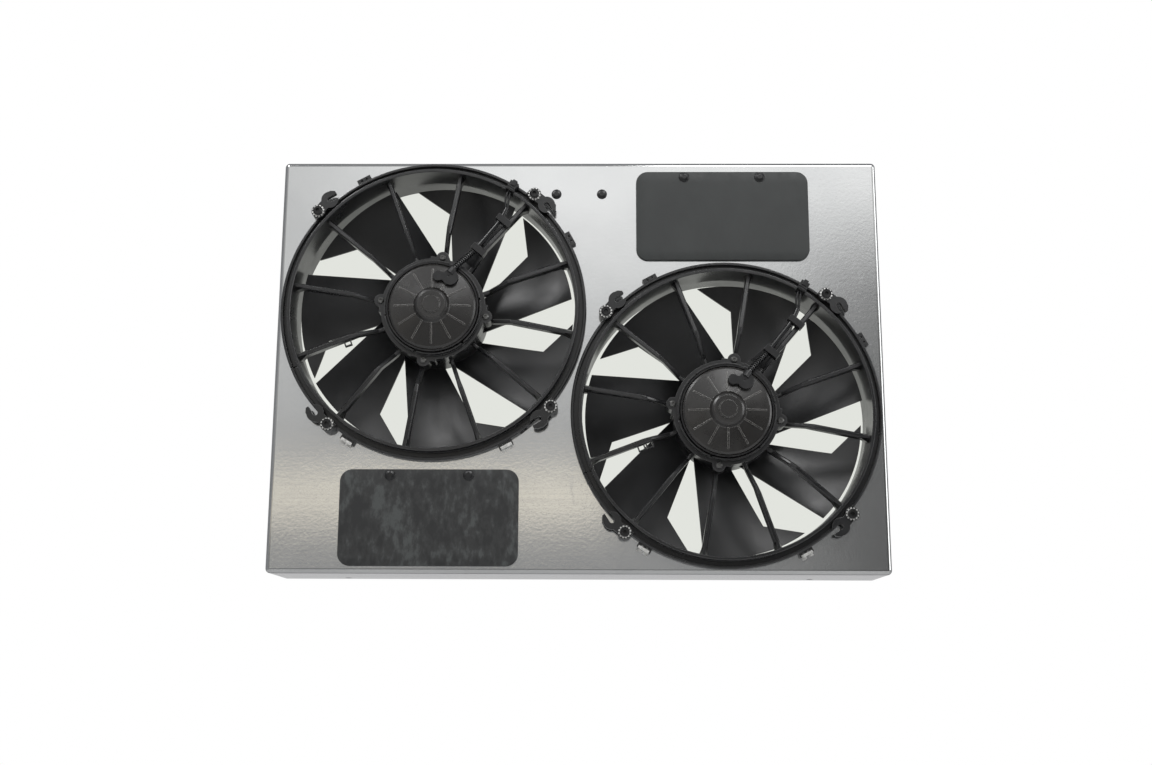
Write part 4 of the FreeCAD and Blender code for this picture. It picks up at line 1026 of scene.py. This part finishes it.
@dataclass
class Studio:
    """A plain room: soft lamps, a matt floor, walls that polished sheet mirrors, a card behind the tray.

    The walls, the ceiling and the card glow and are seen from one side only, so the world is what shows
    past them.
    """

    floor_height: float = -1.1
    floor_reach: float = 8.0
    floor_colour: Colour = (0.76, 0.76, 0.76)
    ceiling: float = 3.0
    reach: float = 3.2
    fade: tuple[float, float] = (1.6, 3.2)
    card_inset: float = 0.0025
    card_gap: float = 0.001
    paper: Colour = (0.76, 0.775, 0.73)
    white: Colour = (1.0, 1.0, 1.0)
    black: Colour = (0.0, 0.0, 0.0)
    grey: Colour = (0.36, 0.365, 0.38)
    warm: Colour = (0.93, 0.86, 0.73)
    wall_height: float = 1.6
    wall_tones: tuple[tuple[float, float], ...] = (
        (0.0, 0.285),
        (0.22, 0.38),
        (0.42, 0.57),
        (0.6, 0.8),
        (0.82, 1.0),
        (1.0, 1.0),
    )
    lamps: tuple[Lamp, ...] = (
        Lamp("key", (-1.5, -1.5, 2.0), (0.0, -0.09, 0.0), (1.0, 1.0), 26.0),
        Lamp("front", (0.7, -1.9, 1.75), (0.0, -0.09, 0.0), (1.1, 0.6), 20.0),
        Lamp("side", (2.3, -0.9, 0.4), (0.0, -0.09, 0.0), (1.0, 1.4), 13.0),
        Lamp("back", (0.4, 2.4, 1.9), (0.0, -0.05, 0.0), (2.4, 1.6), 24.0),
    )

    def build(self) -> None:
        """Make the world, the floor, the card, the walls and the lamps."""
        bpy.context.scene.view_settings.view_transform = "Standard"
        self.world()
        self.floor()
        self.card()
        self.wall()
        self.room()
        for lamp in self.lamps:
            lamp.build()
        log.info("studio built")

    def world(self) -> None:
        """White where the camera, gloss or glass sees past the room, mid grey for the light it gives."""
        world = bpy.data.worlds.new("room")
        bpy.context.scene.world = world
        world.use_nodes = True
        nodes, links = world.node_tree.nodes, world.node_tree.links
        nodes.clear()
        mix = nodes.new("ShaderNodeMixShader")
        out = nodes.new("ShaderNodeOutputWorld")
        links.new(self.bright_rays(nodes, links), mix.inputs[0])
        for index, colour in ((1, self.grey), (2, self.white)):
            light = nodes.new("ShaderNodeBackground")
            light.inputs["Color"].default_value = (*colour, 1.0)
            links.new(light.outputs[0], mix.inputs[index])
        links.new(mix.outputs[0], out.inputs[0])

    @staticmethod
    def bright_rays(nodes: bpy.types.Nodes, links: bpy.types.NodeLinks) -> Socket:
        """Which light rays see the bright world: those of the camera, of gloss and of glass.

        Args:
            nodes: the world's nodes.
            links: the world's links.

        Returns:
            The socket that carries 1 for such a ray and 0 for the rest.
        """
        ray = nodes.new("ShaderNodeLightPath")
        total = ray.outputs["Is Camera Ray"]
        for name in ("Is Glossy Ray", "Is Transmission Ray"):
            either = nodes.new("ShaderNodeMath")
            either.operation = "MAXIMUM"
            links.new(total, either.inputs[0])
            links.new(ray.outputs[name], either.inputs[1])
            total = either.outputs[0]
        return total

    def sheet(self, name: str, corners: Sequence[Point], material: Material) -> bpy.types.Object:
        """A flat stage piece.

        Args:
            name: its name.
            corners: its four corners, in order.
            material: its finish.

        Returns:
            The new object.
        """
        mesh = bpy.data.meshes.new(name)
        mesh.from_pydata([Vector(c) for c in corners], [], [(0, 1, 2, 3)])
        mesh.materials.append(material)
        obj = bpy.data.objects.new(name, mesh)
        bpy.context.scene.collection.objects.link(obj)
        return obj

    @staticmethod
    def plain(name: str, colour: Colour) -> Material:
        """A plain matt stage finish of that name and colour."""
        g = Graph(name)
        return g.finish(Base_Color=colour, Roughness=1.0, Specular_IOR_Level=0.0)

    @staticmethod
    def glowing(g: Graph, colour: Paint) -> Material:
        """Finish a stage material that glows evenly, and is clear from behind.

        Args:
            g: the material's graph.
            colour: a colour or socket.

        Returns:
            The material.
        """
        paint = (*colour, 1.0) if isinstance(colour, tuple) else colour
        g.nodes.remove(g.shader)
        glow = g.add("ShaderNodeEmission", {"Color": paint}).outputs[0]
        clear = g.add("ShaderNodeBsdfTransparent").outputs[0]
        back = g.add("ShaderNodeNewGeometry").outputs["Backfacing"]
        whole = g.add("ShaderNodeMixShader", {0: back, 1: glow, 2: clear}).outputs[0]
        g.links.new(whole, g.nodes["Material Output"].inputs["Surface"])
        return g.material

    def floor(self) -> None:
        """A wide pale floor well below the part, which hangs at its mount."""
        z, reach = self.floor_height, self.floor_reach
        corners = [(-reach, -reach, z), (reach, -reach, z), (reach, reach, z), (-reach, reach, z)]
        self.sheet("floor", corners, self.plain("floor_paper", self.floor_colour))

    def card(self) -> None:
        """A pale card just behind the tray's rim, where the radiator would be."""
        low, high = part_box("tray_walls")
        inset, y = self.card_inset, high.y + self.card_gap
        x0, x1, z0, z1 = low.x + inset, high.x - inset, low.z + inset, high.z - inset
        corners = [(x0, y, z0), (x1, y, z0), (x1, y, z1), (x0, y, z1)]
        self.sheet("backing_card", corners, self.glowing(Graph("card_paper"), self.paper))

    def wall(self) -> None:
        """The wall behind the camera, in the soft shading that polished sheet mirrors."""
        y, reach, low, top = -self.reach, self.reach, self.floor_height, self.ceiling
        corners = [(reach, y, low), (-reach, y, low), (-reach, y, top), (reach, y, top)]
        self.sheet("studio_wall", corners, self.wall_paper())

    def room(self) -> None:
        """The ceiling and two side walls, white far behind the part and mid grey beside and before it."""
        low, top, near, far, half = self.floor_height, self.ceiling, -self.reach, self.reach, self.reach
        g = Graph("room_paper")
        depth = g.add("ShaderNodeSeparateXYZ", {0: g.place()}).outputs["Y"]
        paper = self.glowing(g, g.blend(g.span(depth, *self.fade), self.grey, self.white))
        corners = {
            "ceiling": [(-half, near, top), (-half, far, top), (half, far, top), (half, near, top)],
            "left_wall": [(-half, near, low), (-half, far, low), (-half, far, top), (-half, near, top)],
            "right_wall": [(half, near, low), (half, near, top), (half, far, top), (half, far, low)],
        }
        for name, places in corners.items():
            self.sheet(name, places, paper)

    def wall_paper(self) -> Material:
        """Wall finish: brightest high up, darker low and at both sides, with one low warm band.

        Returns:
            The material.
        """
        g = Graph("wall_paper")
        where = g.add("ShaderNodeSeparateXYZ", {0: g.place()}).outputs
        across, up = where["X"], where["Z"]
        ramp = g.add("ShaderNodeValToRGB", {"Fac": g.span(up, 0.0, self.wall_height)})
        stops = ramp.color_ramp.elements
        for place, _ in self.wall_tones[1:-1]:
            stops.new(place)
        for stop, (_, level) in zip(stops, self.wall_tones):
            stop.color = (level, level, level, 1.0)
        right = g.combine(
            Sum.MULTIPLY, g.span(across, 0.45, 0.95, 0.0, 0.72), g.span(up, 1.35, 0.95)
        )
        left = g.combine(Sum.MULTIPLY, g.span(across, -0.5, -1.05, 0.0, 0.32), g.span(up, 0.6, 1.2))
        shaded = g.blend(left, g.blend(right, ramp.outputs[0], self.black), self.black)
        band = g.combine(Sum.MULTIPLY, g.span(up, 0.12, 0.2), g.span(up, 0.38, 0.29))
        band = g.combine(Sum.MULTIPLY, band, g.span(across, 0.18, 0.02))
        return self.glowing(g, g.blend(band, shaded, self.warm))


def main() -> None:
    """Build the studio and every piece."""
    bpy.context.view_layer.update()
    bpy.ops.object.select_all(action="DESELECT")
    Viewpoint().build()
    Studio().build()
    finishes = Finishes()
    Tray(finishes).build()
    for side in Side:
        low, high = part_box(f"{side.value}_impeller")
        centre = ((low.x + high.x) / 2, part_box("tray_face")[0].y, (low.z + high.z) / 2)
        Fan(side, centre, finishes).build()
    Flap("upper", finishes.upper_flap).build()
    Flap("lower", finishes.lower_flap).build()


if __name__ == "__main__":
    main()
